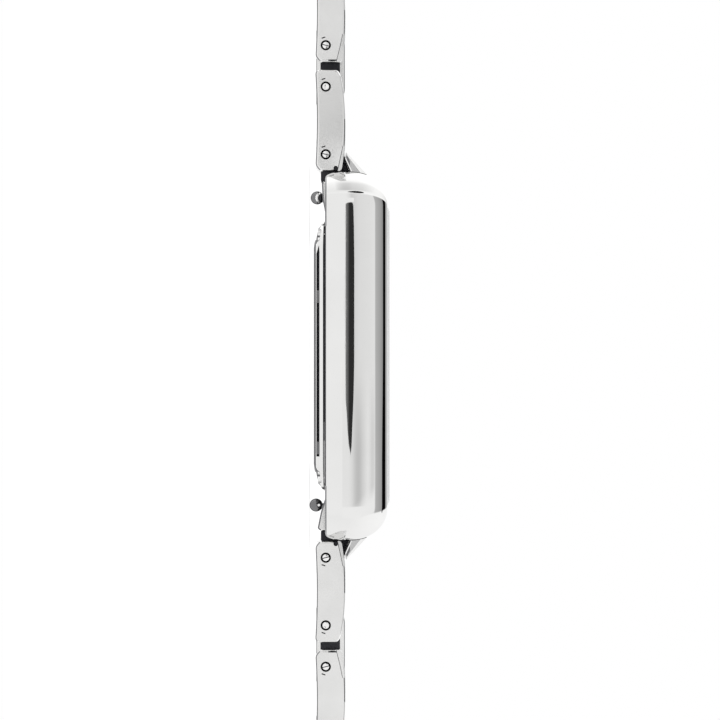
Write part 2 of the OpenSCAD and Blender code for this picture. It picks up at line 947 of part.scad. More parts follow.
module crossbar() {
    top = link_crown * crossbar_top_share;
    near = plate_middle - crossbar_l / 2;
    far = plate_middle + crossbar_l / 2;
    along_x(2 * plate_x + plate_w)
        polygon([
            [near, -crossbar_drop], [far, -crossbar_drop], [far, top - crossbar_round],
            [far - crossbar_round, top], [near + crossbar_round, top], [near, top - crossbar_round]
        ]);
}

module outer_link(i) {
    color("silver")
        translate([0, pin_y(i - 1), pin_z])
            difference() {
                union() {
                    for (s = [0, 1])
                        mirror([s, 0, 0])
                            link_plate();
                    crossbar();
                }
                for (y = [0, pin_span])
                    translate([0, y, 0])
                        x_bar(pin_bore_r, bracelet_w + cut);
                translate([0, plate_middle, -link_drop])
                    along_x(bracelet_w + cut)
                        polygon(concat(
                            [for (s = dish_shares) [s[0] * outer_l / 2, s[1] * plate_dish]],
                            [[outer_l / 2, -cut], [-outer_l / 2, -cut]]
                        ));
                for (s = [-1, 1])
                    translate([s * bracelet_w / 2, -mark_back, mark_lift])
                        x_bar(mark_r, 2 * mark_deep);
            }
}

module link_pins(i) {
    w = bracelet_w - 2 * pin_short;
    color("gray")
        for (y = [0, pin_span])
            translate([0, pin_y(i - 1) + y, pin_z]) {
                x_bar(pin_d / 2, w - 2 * pin_head);
                for (s = [0, 1])
                    mirror([s, 0, 0])
                        translate([w / 2 - pin_head, 0, 0])
                            rotate([0, 90, 0])
                                cylinder(r1 = pin_d / 2, r2 = pin_d / 2 - pin_head, h = pin_head);
            }
}

// Round-ended bar on one or two pins, flat at the front and clipped at the back
module knuckle_bar(l) {
    difference() {
        union() {
            x_bar(knuckle_r, centre_w);
            translate([0, l, 0])
                x_bar(knuckle_r, centre_w);
            translate([-centre_w / 2, 0, -knuckle_r])
                cube([centre_w, l, 2 * knuckle_r]);
        }
        translate([-bracelet_w / 2, -2 * knuckle_r, -knuckle_drop - knuckle_r])
            cube([bracelet_w, l + 4 * knuckle_r, knuckle_r]);
        for (y = [0, l])
            translate([0, y, 0])
                x_bar(pin_bore_r, bracelet_w);
    }
}

module centre_link(i) {
    color("lightgray")
        translate([0, pin_y(i) - centre_span, pin_z])
            knuckle_bar(centre_span);
}

// Knuckle of a clasp piece on the last pin of its side
module clasp_knuckle() {
    difference() {
        x_bar(knuckle_r, centre_w);
        translate([-bracelet_w / 2, -2 * knuckle_r, -knuckle_drop - knuckle_r])
            cube([bracelet_w, 4 * knuckle_r, knuckle_r]);
    }
}

module catch_link() {
    root_l = catch_l - catch_window - catch_bar_r;
    top = catch_t - catch_drop;
    color("silver")
        translate([0, clasp_y, pin_z])
            difference() {
                union() {
                    clasp_knuckle();
                    along_x(centre_w)
                        polygon([
                            [0, -catch_drop], [root_l, -catch_drop], [root_l, top],
                            [catch_root, top], [0, knuckle_r]
                        ]);
                    translate([-catch_w / 2, catch_root, -catch_drop])
                        cube([catch_w, root_l - catch_root, catch_t]);
                    for (s = [-1, 1])
                        translate([s * (catch_w - catch_rail) / 2 - catch_rail / 2, catch_root, -catch_drop])
                            cube([catch_rail, catch_l - catch_root, catch_t]);
                    translate([0, catch_l, catch_bar_up - catch_bar_r])
                        x_bar(catch_bar_r, catch_w);
                }
                x_bar(pin_bore_r, bracelet_w);
            }
}

module clasp_base() {
    plate_l = clasp_l - base_start;
    hook_y = clasp_l - hook_from_end;
    floor_z = sheet_t - base_drop;
    color("lightgray")
        translate([0, clasp_y, pin_z])
            difference() {
                union() {
                    clasp_knuckle();
                    translate([-centre_w / 2, 0, -base_drop])
                        cube([centre_w, base_start + sheet_t, sheet_t]);
                    translate([0, base_start + plate_l / 2, -base_drop])
                        rounded_plate(plate_l, base_w, sheet_t, sheet_t);
                    for (s = [-1, 1])
                        translate([s * (base_w - lug_w) / 2, hinge_t, 0]) {
                            translate([0, 0, hinge_up])
                                x_bar(lug_r, lug_w);
                            translate([-lug_w / 2, -lug_r, -base_drop])
                                cube([lug_w, 2 * lug_r, base_drop + hinge_up]);
                        }
                    along_x(hook_w)
                        polygon([
                            [hook_y, floor_z - sheet_t / 2], [hook_y + hook_post_t, floor_z - sheet_t / 2],
                            [hook_y + hook_post_t, floor_z + hook_h - hook_t / 2],
                            [hook_y + hook_post_t - hook_t / 2, floor_z + hook_h],
                            [hook_y - hook_reach, floor_z + hook_h],
                            [hook_y - hook_reach, floor_z + hook_h - hook_t], [hook_y, floor_z + hook_h - hook_t]
                        ]);
                }
                x_bar(pin_bore_r, bracelet_w);
                translate([0, hinge_t, hinge_up])
                    x_bar(hinge_pin_r + hull_skin, bracelet_w);
            }
}

module clasp_cover() {
    top = link_crown;
    lid_l = clasp_l + lid_over - hinge_t;
    inner_w = clasp_w - 2 * skirt_t;
    color("silver")
        translate([0, clasp_y, pin_z])
            difference() {
                union() {
                    translate([-clasp_w / 2, hinge_t, top - lid_t])
                        cube([clasp_w, lid_l, lid_t]);
                    for (s = [-1, 1])
                        translate([s * (clasp_w - skirt_t) / 2, hinge_t, 0]) {
                            translate([-skirt_t / 2, 0, -skirt_drop])
                                cube([skirt_t, lid_l, top + skirt_drop]);
                            translate([0, 0, hinge_up])
                                x_bar(skirt_end_r, skirt_t);
                        }
                    translate([-clasp_w / 2, hinge_t + lid_l - lip_t, top - lid_t - lip_drop])
                        cube([clasp_w, lip_t, lid_t + lip_drop]);
                }
                translate([0, hinge_t, hinge_up])
                    x_bar(hinge_pin_r + slide_fit, bracelet_w + cut);
            }
}

module clasp_pin() {
    color("gray")
        translate([0, clasp_y + hinge_t, pin_z + hinge_up])
            x_bar(hinge_pin_r, clasp_w - 2 * pin_short);
}

case_body();
crystal();
dial();
hour_markers();
back_cover();
back_gasket();
case_screws();
crown_tube();
movement_holder();
main_plate();
train_bridge();
circuit_board();
coil();
battery();
minute_hand();
cannon_pinion();
hour_hand();
hour_wheel();
minute_wheel();
crown();
winding_stem();
setting_lever();
for (side = SIDES)
    at_side(side) {
        end_link();
        spring_bar();
        release_pin(side == "12" ? lever_l_12 : lever_l_6, side == "12" ? lever_swing_12 : lever_swing_6);
        for (i = [1:outer_links]) {
            outer_link(i);
            link_pins(i);
        }
        for (i = [1:outer_links - 1])
            centre_link(i);
    }
catch_link();
at_side("6") clasp_base();
at_side("6") clasp_cover();
at_side("6") clasp_pin();
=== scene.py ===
"""Looks of a rectangular steel watch on an H-link bracelet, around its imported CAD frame.

Sizes inside the functions are millimetres; a mesh is turned to metres as it is made. +Y is 12 o'clock, +Z the
crystal's side and +X the crown's side, as in the frame.
"""

import math

import bmesh
import bpy
import numpy as np
from mathutils import Matrix, Vector


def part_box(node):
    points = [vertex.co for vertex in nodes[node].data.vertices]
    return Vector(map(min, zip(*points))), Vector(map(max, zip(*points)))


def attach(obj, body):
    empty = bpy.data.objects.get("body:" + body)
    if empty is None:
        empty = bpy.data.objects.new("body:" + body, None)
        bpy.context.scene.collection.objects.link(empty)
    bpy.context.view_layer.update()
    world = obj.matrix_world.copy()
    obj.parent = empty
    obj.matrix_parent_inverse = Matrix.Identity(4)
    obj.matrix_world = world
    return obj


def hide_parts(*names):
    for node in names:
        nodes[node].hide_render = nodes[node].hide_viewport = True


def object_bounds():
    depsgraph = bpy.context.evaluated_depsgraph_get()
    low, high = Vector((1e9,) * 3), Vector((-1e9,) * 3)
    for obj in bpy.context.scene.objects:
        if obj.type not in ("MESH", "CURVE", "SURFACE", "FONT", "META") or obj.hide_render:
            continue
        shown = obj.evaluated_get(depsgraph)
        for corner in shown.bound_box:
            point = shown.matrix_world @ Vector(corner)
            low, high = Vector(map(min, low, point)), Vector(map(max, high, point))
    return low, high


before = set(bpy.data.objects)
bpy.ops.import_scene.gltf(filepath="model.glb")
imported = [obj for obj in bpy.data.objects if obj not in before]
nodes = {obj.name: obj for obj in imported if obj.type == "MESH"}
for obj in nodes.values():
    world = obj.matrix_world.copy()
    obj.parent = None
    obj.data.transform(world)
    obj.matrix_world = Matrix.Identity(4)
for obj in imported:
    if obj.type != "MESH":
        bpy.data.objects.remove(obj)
cad_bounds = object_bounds()

MM = 0.001
SIDES = ("12", "6")
LINKS = 5
BOTH = (1, -1)
FLAT = ((0, 0),)
# How far a tool reaches past what it cuts, least radius of a ring, and least divisor
OVER, HAIR, TINY = 0.5, 0.004, 1e-9


def box_mm(node):
    """Lowest and highest corner of a CAD node, in millimetres."""
    low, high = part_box(node)
    return np.array(low) / MM, np.array(high) / MM


# Sizes read from the frame
case_low, case_high = box_mm("case_body")
crystal_low, crystal_high = box_mm("crystal")
_, cover_high = box_mm("back_cover")
dial_low, dial_high = box_mm("dial")
pins_low, pins_high = box_mm("link_pins_12_1")
bar_low, bar_high = box_mm("spring_bar_12")
crown_low, crown_high = box_mm("crown")

# Sizes that follow from them, and the bracelet's own
CASE_L = case_high[1] * 2
CASE_W = case_high[0] * 2
BACK_Z = case_low[2]
RIM_Z = case_high[2]
CASE_R = 3.0
PIN_D = pins_high[2] - pins_low[2]
PIN_Z = (pins_high[2] + pins_low[2]) / 2
END_PIN_Y = pins_low[1] + PIN_D / 2
PIN_SPAN = pins_high[1] - pins_low[1] - PIN_D
CENTRE_SPAN = 3.6
PITCH = PIN_SPAN + CENTRE_SPAN
BRACELET_W = 14.0
PLATE_X = 3.2
CENTRE_W = 6.2
BAR_Y = (bar_low[1] + bar_high[1]) / 2
BAR_Z = (bar_low[2] + bar_high[2]) / 2
CROWN_Z = (crown_low[2] + crown_high[2]) / 2
DIAL_TOP = dial_high[2]
CRYSTAL_Z = crystal_low[2]
CLASP_Y = END_PIN_Y + (LINKS - 1) * PITCH + PIN_SPAN
CLASP_L = 30.0

# Opening for the movement, screws of the back cover, bore of a link, round end of a centre link and how far under
# its pin the back is clipped, lever and knob of the quick release
OPENING_L, OPENING_W = 21.6, 13.6
SCREW_X, SCREW_Y = OPENING_W / 2 + 0.2, OPENING_L / 2 - 0.4
PIN_BORE_R = 0.45
KNUCKLE_R, KNUCKLE_DROP = 1.65, 0.85
LEVER_X, KNOB_R = 4.6, 1.15 / 2


# ---------------------------------------------------------------- forms
# A form is (points, faces): an array of points in millimetres and a list of faces.

def skin(rings, caps=True):
    """Closed skin over a stack of closed rings: quads join point j of ring i to its neighbours j + 1 and i + 1,
    and a flat face closes each end."""
    count, around = rings.shape[:2]
    i = np.arange(count - 1)[:, None] * around
    j = np.arange(around)[None, :]
    k = (j + 1) % around
    quads = np.stack([i + j, i + k, i + around + k, i + around + j], -1).reshape(-1, 4).tolist()
    if caps:
        quads.append(list(range(around))[::-1])
        quads.append(list(range((count - 1) * around, count * around)))
    return rings.reshape(-1, 3), quads


def join(*forms):
    """Several forms as one: the faces of each count on from the points before it."""
    starts = np.cumsum([0] + [len(points) for points, _ in forms])
    faces = [[start + v for v in face] for start, (_, some) in zip(starts, forms) for face in some]
    return np.concatenate([points for points, _ in forms]), faces


def moved(form, by):
    """A form shifted by a vector."""
    return form[0] + np.array(by, float), form[1]


def turned(form, axis, degrees):
    """A form turned about the X (0), Y (1) or Z (2) axis: the usual rotation of the two other coordinates."""
    a, b = (axis + 1) % 3, (axis + 2) % 3
    c, s = math.cos(math.radians(degrees)), math.sin(math.radians(degrees))
    points = form[0].copy()
    points[:, a] = c * form[0][:, a] - s * form[0][:, b]
    points[:, b] = s * form[0][:, a] + c * form[0][:, b]
    return points, form[1]


def flipped(form, axis):
    """A form mirrored in one coordinate, its faces turned round."""
    flip = np.ones(3)
    flip[axis] = -1
    return form[0] * flip, [face[::-1] for face in form[1]]


def at_side(form, side):
    """A form made at the 12 o'clock end, mirrored in Y for the other end."""
    return form if side == "12" else flipped(form, 1)


def corner_path(l, w, r, steps=14, run=10):
    """Path round a rectangle with round corners: centres of the corner arcs and outward directions. Each corner
    turns its direction through 90 degrees about a fixed centre; on each straight side the centre slides along."""
    angle = np.linspace(0, np.pi / 2, steps)
    slide = np.linspace(0, 1, run + 2)[1:-1]
    signs = np.array([[1, 1], [-1, 1], [-1, -1], [1, -1]], float)
    centres, ways = [], []
    for q in range(4):
        here = signs[q] * [w / 2 - r, l / 2 - r]
        there = signs[(q + 1) % 4] * [w / 2 - r, l / 2 - r]
        turn = angle + q * np.pi / 2
        way = np.stack([np.cos(turn), np.sin(turn)], -1)
        centres += [np.repeat(here[None], steps, 0), here + slide[:, None] * (there - here)]
        ways += [way, np.repeat(way[-1:], run, 0)]
    return np.concatenate(centres), np.concatenate(ways)


def edge_form(l, w, r, outline, steps=14, run=10):
    """Rounded rectangle whose edge follows (inset, height) points: a ring point is the corner's centre plus its
    direction times the corner radius less the inset."""
    centres, ways = corner_path(l, w, r, steps, run)
    outline = np.asarray(outline, float)
    flat = centres[None] + ways[None] * (r - outline[:, 0])[:, None, None]
    height = np.repeat(outline[:, 1][:, None, None], flat.shape[1], 1)
    return skin(np.concatenate([flat, height], -1))


def plate_form(l, w, r, z0, z1, bevel=0.0):
    """Flat plate with round corners, its long edges cut by a small bevel."""
    if bevel:
        outline = [[bevel, z0], [0, z0 + bevel], [0, z1 - bevel], [bevel, z1]]
    else:
        outline = [[0, z0], [0, z1]]
    return edge_form(l, w, r, outline, 8, 2)


def softened(corners, radius, steps=5):
    """Closed outline with each corner rounded: a quadratic curve from a point before the corner to one after it,
    (1-t)^2 a + 2t(1-t) corner + t^2 b, the points set back by the radius or by two fifths of the shorter side."""
    p = np.asarray(corners, float)
    radius = np.broadcast_to(np.asarray(radius, float), len(p))
    before, after = np.roll(p, 1, 0) - p, np.roll(p, -1, 0) - p
    lb, la = np.linalg.norm(before, axis=1), np.linalg.norm(after, axis=1)
    back = np.minimum(radius, 0.4 * np.minimum(lb, la))
    a, b = p + before * (back / lb)[:, None], p + after * (back / la)[:, None]
    t = np.linspace(0, 1, steps)[None, :, None]
    curve = (1 - t) ** 2 * a[:, None] + 2 * t * (1 - t) * p[:, None] + t ** 2 * b[:, None]
    return curve.reshape(-1, 2)


def inward(outline):
    """Direction that moves each point of a closed outline inwards by one unit of its sides: the sum of the two
    side normals over one plus their product."""
    side = np.roll(outline, -1, 0) - outline
    length = np.maximum(np.linalg.norm(side, axis=1, keepdims=True), TINY)
    normal = np.stack([-side[:, 1], side[:, 0]], -1) / length
    area = np.sum(outline[:, 0] * np.roll(outline[:, 1], -1) - np.roll(outline[:, 0], -1) * outline[:, 1])
    normal *= np.sign(area)
    last = np.roll(normal, 1, 0)
    share = 1 + np.sum(normal * last, 1, keepdims=True)
    return (normal + last) / np.maximum(share, 0.35)


def through(outline, stations):
    """Skin over an outline in (y, z), moved inwards by an inset at each station of (x, inset)."""
    outline = np.asarray(outline, float)
    way = inward(outline)
    return skin(np.array([np.column_stack([np.full(len(outline), x), outline + way * k]) for x, k in stations]))


def along_x(outline, x0, x1, edges=FLAT):
    """Outline in (y, z) carried along X from x0 to x1. edges gives (depth, inset) pairs that shape both ends:
    at that depth from the end, the outline has moved inwards by that inset."""
    return through(outline, [(x0 + d, k) for d, k in edges] + [(x1 - d, k) for d, k in edges[::-1]])


def two_along_x(outline, middle, half, edges=FLAT):
    """The same outline carried along X at both sides, about a distance from the middle."""
    return [along_x(outline, s * middle - half, s * middle + half, edges) for s in BOTH]


def rounded_ends(radius, steps=5):
    """Depth and inset of a quarter round: depth r(1 - sin a), inset r(1 - cos a)."""
    a = np.linspace(0, np.pi / 2, steps)
    return [(radius * (1 - math.sin(v)), radius * (1 - math.cos(v))) for v in a[::-1]]


def lathe(profile, around=40, axis=0):
    """Profile of (distance along, radius) points turned about an axis: (s, r cos a, r sin a)."""
    profile = np.asarray(profile, float)
    a = np.arange(around) * 2 * np.pi / around
    s = np.repeat(profile[:, 0][:, None], around, 1)
    r = np.maximum(profile[:, 1], HAIR)[:, None]
    rings = np.stack([s, r * np.cos(a), r * np.sin(a)], -1)
    return skin(np.roll(rings, axis, -1))


def block(x0, x1, y0, y1, z0, z1, round_by=0.0):
    """Block along X with its four long edges and its ends rounded."""
    outline = [[y0, z0], [y1, z0], [y1, z1], [y0, z1]]
    if round_by:
        return along_x(softened(outline, round_by), x0, x1, rounded_ends(round_by, 4))
    return along_x(outline, x0, x1)


def placed(name, data):
    """Object with its data, linked into the scene."""
    thing = bpy.data.objects.new(name, data)
    bpy.context.scene.collection.objects.link(thing)
    return thing


def as_mesh(name, form, unit=MM):
    """Mesh from a form, in metres unless told, its doubles merged and its faces pointing outwards."""
    mesh = bpy.data.meshes.new(name)
    mesh.from_pydata((form[0] * unit).tolist(), [], form[1])
    tidy = bmesh.new()
    tidy.from_mesh(mesh)
    bmesh.ops.remove_doubles(tidy, verts=tidy.verts, dist=1e-5 * unit)
    bmesh.ops.recalc_face_normals(tidy, faces=tidy.faces)
    tidy.to_mesh(mesh)
    tidy.free()
    return mesh


def carve(form, tools):
    """A form less each of the tools, by exact booleans that are applied at once, in millimetres."""
    body = placed("body", as_mesh("body", form, 1.0))
    spare = [body]
    for tool in tools:
        cutter = placed("cutter", as_mesh("cutter", tool, 1.0))
        cutter.hide_render = True
        less = body.modifiers.new("less", "BOOLEAN")
        less.operation, less.solver, less.object = "DIFFERENCE", "EXACT", cutter
        spare.append(cutter)
    done = bpy.data.meshes.new_from_object(body.evaluated_get(bpy.context.evaluated_depsgraph_get()))
    points = np.empty(len(done.vertices) * 3)
    done.vertices.foreach_get("co", points)
    faces = [list(face.vertices) for face in done.polygons]
    bpy.data.meshes.remove(done)
    for thing in spare:
        mesh = thing.data
        bpy.data.objects.remove(thing)
        bpy.data.meshes.remove(mesh)
    return points.reshape(-1, 3), faces


def piece(name, form, finishes, body, replaces=(), choose=None, sharp=28):
    """Object from a form, riding on a CAD body. choose gets the faces' centres (millimetres) and normals and
    returns which finish each face has; edges sharper than the angle keep a crease."""
    mesh = as_mesh(name, form)
    for finish in finishes:
        mesh.materials.append(finish)
    if choose:
        centres, normals = np.empty(len(mesh.polygons) * 3), np.empty(len(mesh.polygons) * 3)
        mesh.polygons.foreach_get("center", centres)
        mesh.polygons.foreach_get("normal", normals)
        which = choose(centres.reshape(-1, 3) / MM, normals.reshape(-1, 3))
        mesh.polygons.foreach_set("material_index", np.asarray(which, np.int32))
    mesh.polygons.foreach_set("use_smooth", np.ones(len(mesh.polygons), bool))
    mesh.set_sharp_from_angle(angle=math.radians(sharp))
    thing = placed(name, mesh)
    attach(thing, body)
    if replaces:
        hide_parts(*replaces)
    return thing


# ---------------------------------------------------------------- finishes

def group(name, inputs, outputs, build):
    """Shader node group with named sockets; build fills it and gets its input and output nodes."""
    tree = bpy.data.node_groups.new(name, "ShaderNodeTree")
    for label, kind, value in inputs:
        socket = tree.interface.new_socket(label, in_out="INPUT", socket_type=kind)
        socket.default_value = value
    for label, kind in outputs:
        tree.interface.new_socket(label, in_out="OUTPUT", socket_type=kind)
    build(tree, tree.nodes.new("NodeGroupInput"), tree.nodes.new("NodeGroupOutput"))
    return tree


def node(tree, kind, links=(), **settings):
    """Node with its properties set, and its inputs set or linked by name or number."""
    made = tree.nodes.new(kind)
    for key, value in settings.items():
        setattr(made, key, value)
    for socket, value in links:
        if isinstance(value, bpy.types.NodeSocket):
            tree.links.new(value, made.inputs[socket])
        else:
            made.inputs[socket].default_value = value
    return made


def maths(tree, operation, *values):
    """Result of a maths node on sockets or numbers."""
    return node(tree, "ShaderNodeMath", enumerate(values), operation=operation).outputs[0]


def spread(tree, value, low, high, to_low, to_high, **settings):
    """Value carried from one range to another and kept inside it."""
    return node(tree, "ShaderNodeMapRange", enumerate((value, low, high, to_low, to_high)), **settings).outputs[0]


def noised(tree, place, **values):
    """Height of a noise node read at a place, its inputs set by name."""
    return node(tree, "ShaderNodeTexNoise", [("Vector", place), *values.items()]).outputs[0]


def blended(tree, factor, low, high):
    """Colour between two others."""
    return node(tree, "ShaderNodeMix", [("Factor", factor), (6, low), (7, high)], data_type="RGBA").outputs[2]


def own_place(tree):
    """A point's place in its object's own frame."""
    return node(tree, "ShaderNodeTexCoord").outputs["Object"]


def ramp(tree, value, stops, smooth=False):
    """Colour ramp from grey stops of (position, level)."""
    made = node(tree, "ShaderNodeValToRGB", [(0, value)])
    made.color_ramp.interpolation = "EASE" if smooth else "LINEAR"
    points = made.color_ramp.elements
    while len(points) < len(stops):
        points.new(0.5)
    for point, (place, level) in zip(points, stops):
        point.position = place
        point.color = (level, level, level, 1)
    return made.outputs[0]


def build_grain(tree, start, end):
    """Grain: noise on the object's own place, stretched by the scale vector, as a height and as a mask."""
    place = own_place(tree)
    stretched = node(
        tree, "ShaderNodeVectorMath", [(0, place), (1, start.outputs["Stretch"])], operation="MULTIPLY")
    noise = noised(tree, stretched.outputs[0], Scale=1.0, Detail=3.0, Roughness=0.6)
    tree.links.new(noise, end.inputs["Height"])
    mask = spread(tree, noise, 0.3, 0.7, start.outputs["Low"], start.outputs["High"])
    tree.links.new(mask, end.inputs["Mask"])


def build_scratches(tree, start, end):
    """Hairline scratches: bands of two turned, very stretched noises, kept only where each is near its middle."""
    place = own_place(tree)
    lines = []
    for turn, seed in ((0.5, 3.1), (-0.9, 8.7), (1.9, 5.3)):
        way = node(tree, "ShaderNodeMapping", [
            ("Vector", place), ("Location", (seed, seed, 0)), ("Rotation", (turn, turn / 2, turn)),
            ("Scale", (260, 9000, 9000))])
        noise = noised(tree, way.outputs[0], Scale=0.35, Detail=1.0)
        off = maths(tree, "SUBTRACT", noise, 0.5)
        width = maths(tree, "ABSOLUTE", off)
        lines.append(spread(tree, width, 0.0, 0.012, 1.0, 0.0))
    both = maths(tree, "MAXIMUM", lines[0], lines[1])
    every = maths(tree, "MAXIMUM", both, lines[2])
    patches = noised(tree, place, Scale=320.0, Detail=2.0)
    kept = spread(tree, patches, 0.5, 0.68, 0.0, 1.0)
    mask = maths(tree, "MULTIPLY", every, kept)
    amount = maths(tree, "MULTIPLY", mask, start.outputs["Amount"])
    tree.links.new(amount, end.inputs["Mask"])


def build_wear(tree, start, end):
    """Edge wear: how sharply the surface turns outwards, broken up by noise."""
    turn = node(tree, "ShaderNodeNewGeometry").outputs["Pointiness"]
    place = own_place(tree)
    noise = noised(tree, place, Scale=900.0, Detail=3.0)
    edge = spread(tree, turn, 0.52, 0.6, 0.0, 1.0)
    broken = maths(tree, "MULTIPLY", edge, noise)
    amount = maths(tree, "MULTIPLY", broken, start.outputs["Amount"])
    tree.links.new(amount, end.inputs["Mask"])


FLOAT, VECTOR = "NodeSocketFloat", "NodeSocketVector"
GRAIN = group(
    "grain", [("Stretch", VECTOR, (1000, 1000, 1000)), ("Low", FLOAT, 0.0), ("High", FLOAT, 1.0)],
    [("Height", FLOAT), ("Mask", FLOAT)], build_grain)
SCRATCHES = group("hairlines", [("Amount", FLOAT, 1.0)], [("Mask", FLOAT)], build_scratches)
WEAR = group("edge_wear", [("Amount", FLOAT, 1.0)], [("Mask", FLOAT)], build_wear)


def use(tree, what, **values):
    """A shared group placed in a material with its own values."""
    made = tree.nodes.new("ShaderNodeGroup")
    made.node_tree = what
    for key, value in values.items():
        made.inputs[key].default_value = value
    return made


def blank(name, **settings):
    """Material with one Principled shader, its even values set on the shader itself."""
    material = bpy.data.materials.new(name)
    material.use_nodes = True
    shader = material.node_tree.nodes["Principled BSDF"]
    for key, value in settings.items():
        shader.inputs[key.replace("_", " ")].default_value = value
    return material, material.node_tree, shader


def bumpy(tree, shader, strength, depth, height):
    """Bump on a shader, its depth in metres."""
    bumped = node(tree, "ShaderNodeBump", [("Strength", strength), ("Distance", depth), ("Height", height)])
    tree.links.new(bumped.outputs[0], shader.inputs["Normal"])


def steel(name, light, dark, rough, grain=(300,) * 3, bump=0.0, scratches=0.5, wear=0.3, metal=1.0):
    """Steel: its tint drifts between two colours and its roughness between two values with the grain; hairlines
    and worn edges add to the roughness, and grain and hairlines are bumped."""
    material, tree, shader = blank(name, Metallic=metal)
    clouds = use(tree, GRAIN, Stretch=(220, 220, 220), Low=0.0, High=1.0)
    tint = blended(tree, clouds.outputs["Mask"], (*dark, 1), (*light, 1))
    tree.links.new(tint, shader.inputs["Base Color"])
    fibre = use(tree, GRAIN, Stretch=grain, Low=rough[0], High=rough[1])
    lines = use(tree, SCRATCHES, Amount=scratches)
    worn = use(tree, WEAR, Amount=wear)
    more = maths(tree, "MULTIPLY_ADD", lines.outputs["Mask"], 0.22, fibre.outputs["Mask"])
    total = maths(tree, "MULTIPLY_ADD", worn.outputs["Mask"], 0.12, more)
    tree.links.new(total, shader.inputs["Roughness"])
    if bump:
        raised = maths(tree, "MULTIPLY_ADD", lines.outputs["Mask"], -0.6, fibre.outputs["Height"])
        bumpy(tree, shader, bump, 0.00002, raised)
    return material


def solid(name, light, dark, rough, grain=(600,) * 3, bump=0.1, depth=0.00002, metal=0.0, **settings):
    """Plastic, rubber, paint or plain metal: grain drifts its colour and roughness and is bumped."""
    material, tree, shader = blank(name, Metallic=metal, **settings)
    fibre = use(tree, GRAIN, Stretch=grain, Low=rough[0], High=rough[1])
    tint = blended(tree, fibre.outputs["Height"], (*dark, 1), (*light, 1))
    tree.links.new(tint, shader.inputs["Base Color"])
    tree.links.new(fibre.outputs["Mask"], shader.inputs["Roughness"])
    bumpy(tree, shader, bump, depth, fibre.outputs["Height"])
    return material


def sunray():
    """Silvered dial: a pale enamel whose fine grain runs out from the centre. The grain is noise read at the angle
    round the centre, atan2(y, x), so it is even along each ray."""
    material, tree, shader = blank("dial_silvered", Metallic=0.55)
    place = node(tree, "ShaderNodeSeparateXYZ", [(0, own_place(tree))])
    angle = maths(tree, "ARCTAN2", place.outputs[1], place.outputs[0])
    ray = node(tree, "ShaderNodeCombineXYZ", [(0, angle)])
    noise = noised(tree, ray.outputs[0], Scale=160.0, Detail=4.0, Roughness=0.7)
    tint = blended(tree, noise, (0.74, 0.74, 0.72, 1), (0.9, 0.9, 0.88, 1))
    tree.links.new(tint, shader.inputs["Base Color"])
    rough = spread(tree, noise, 0.3, 0.7, 0.3, 0.45)
    tree.links.new(rough, shader.inputs["Roughness"])
    bumpy(tree, shader, 0.25, 0.00001, noise)
    return material


def glass():
    """Crystal: clear mineral glass, its polish broken very slightly by hairlines."""
    material, tree, shader = blank(
        "crystal_clear", Transmission_Weight=1.0, IOR=1.52, Base_Color=(0.97, 0.985, 0.98, 1))
    lines = use(tree, SCRATCHES, Amount=0.4)
    rough = maths(tree, "MULTIPLY_ADD", lines.outputs["Mask"], 0.08, 0.01)
    tree.links.new(rough, shader.inputs["Roughness"])
    return material


WHITE_STEEL, GREY_STEEL = (0.88, 0.878, 0.87), (0.85, 0.848, 0.84)
case_steel = steel("case_polished", WHITE_STEEL, GREY_STEEL, (0.025, 0.045), bump=0.02, scratches=0.3)
inner_steel = steel("case_inside", (0.7, 0.7, 0.71), (0.62, 0.62, 0.63), (0.3, 0.4), bump=0.1)
bevel_steel = steel("link_bevels", (0.97, 0.968, 0.962), (0.94, 0.938, 0.932), (0.06, 0.11), bump=0.03, scratches=0.3)
flank_steel = steel(
    "link_flanks", (0.84, 0.838, 0.83), (0.77, 0.768, 0.76), (0.16, 0.24), grain=(500, 60000, 9000), bump=0.12)
top_steel = steel(
    "link_tops", (0.83, 0.835, 0.84), (0.77, 0.775, 0.78), (0.2, 0.32),
    grain=(90000, 700, 3000), bump=0.3, scratches=0.7)
centre_steel = steel("centre_polished", WHITE_STEEL, GREY_STEEL, (0.06, 0.12), bump=0.05)
cover_steel = steel(
    "cover_brushed", (0.84, 0.845, 0.85), (0.76, 0.765, 0.77), (0.14, 0.26),
    grain=(60000, 500, 3000), bump=0.25, scratches=0.8)
pin_steel = steel("pin_heads", (0.97, 0.968, 0.962), (0.92, 0.918, 0.912), (0.1, 0.18), grain=(4000,) * 3, bump=0.1)
# Painted shade: a dark steel that stands in for the shaded reflection of the release knob and of the lugs in the
# cover's slot
dark_shade_steel = steel("dark_painted_shade", (0.25, 0.25, 0.255), (0.17, 0.17, 0.175), (0.12, 0.2), grain=(3000,) * 3, bump=0.1)
shadow_steel = steel("shaded_recess", (0.06, 0.06, 0.065), (0.03, 0.03, 0.035), (0.35, 0.5), grain=(3000,) * 3)
# Painted shade: a mid-grey steel for the hood's end faces and the paler end of the back cover's rebate
painted_grey_shade_steel = steel("painted_grey_shade", (0.66, 0.66, 0.66), (0.55, 0.55, 0.55), (0.3, 0.36), wear=0.0)
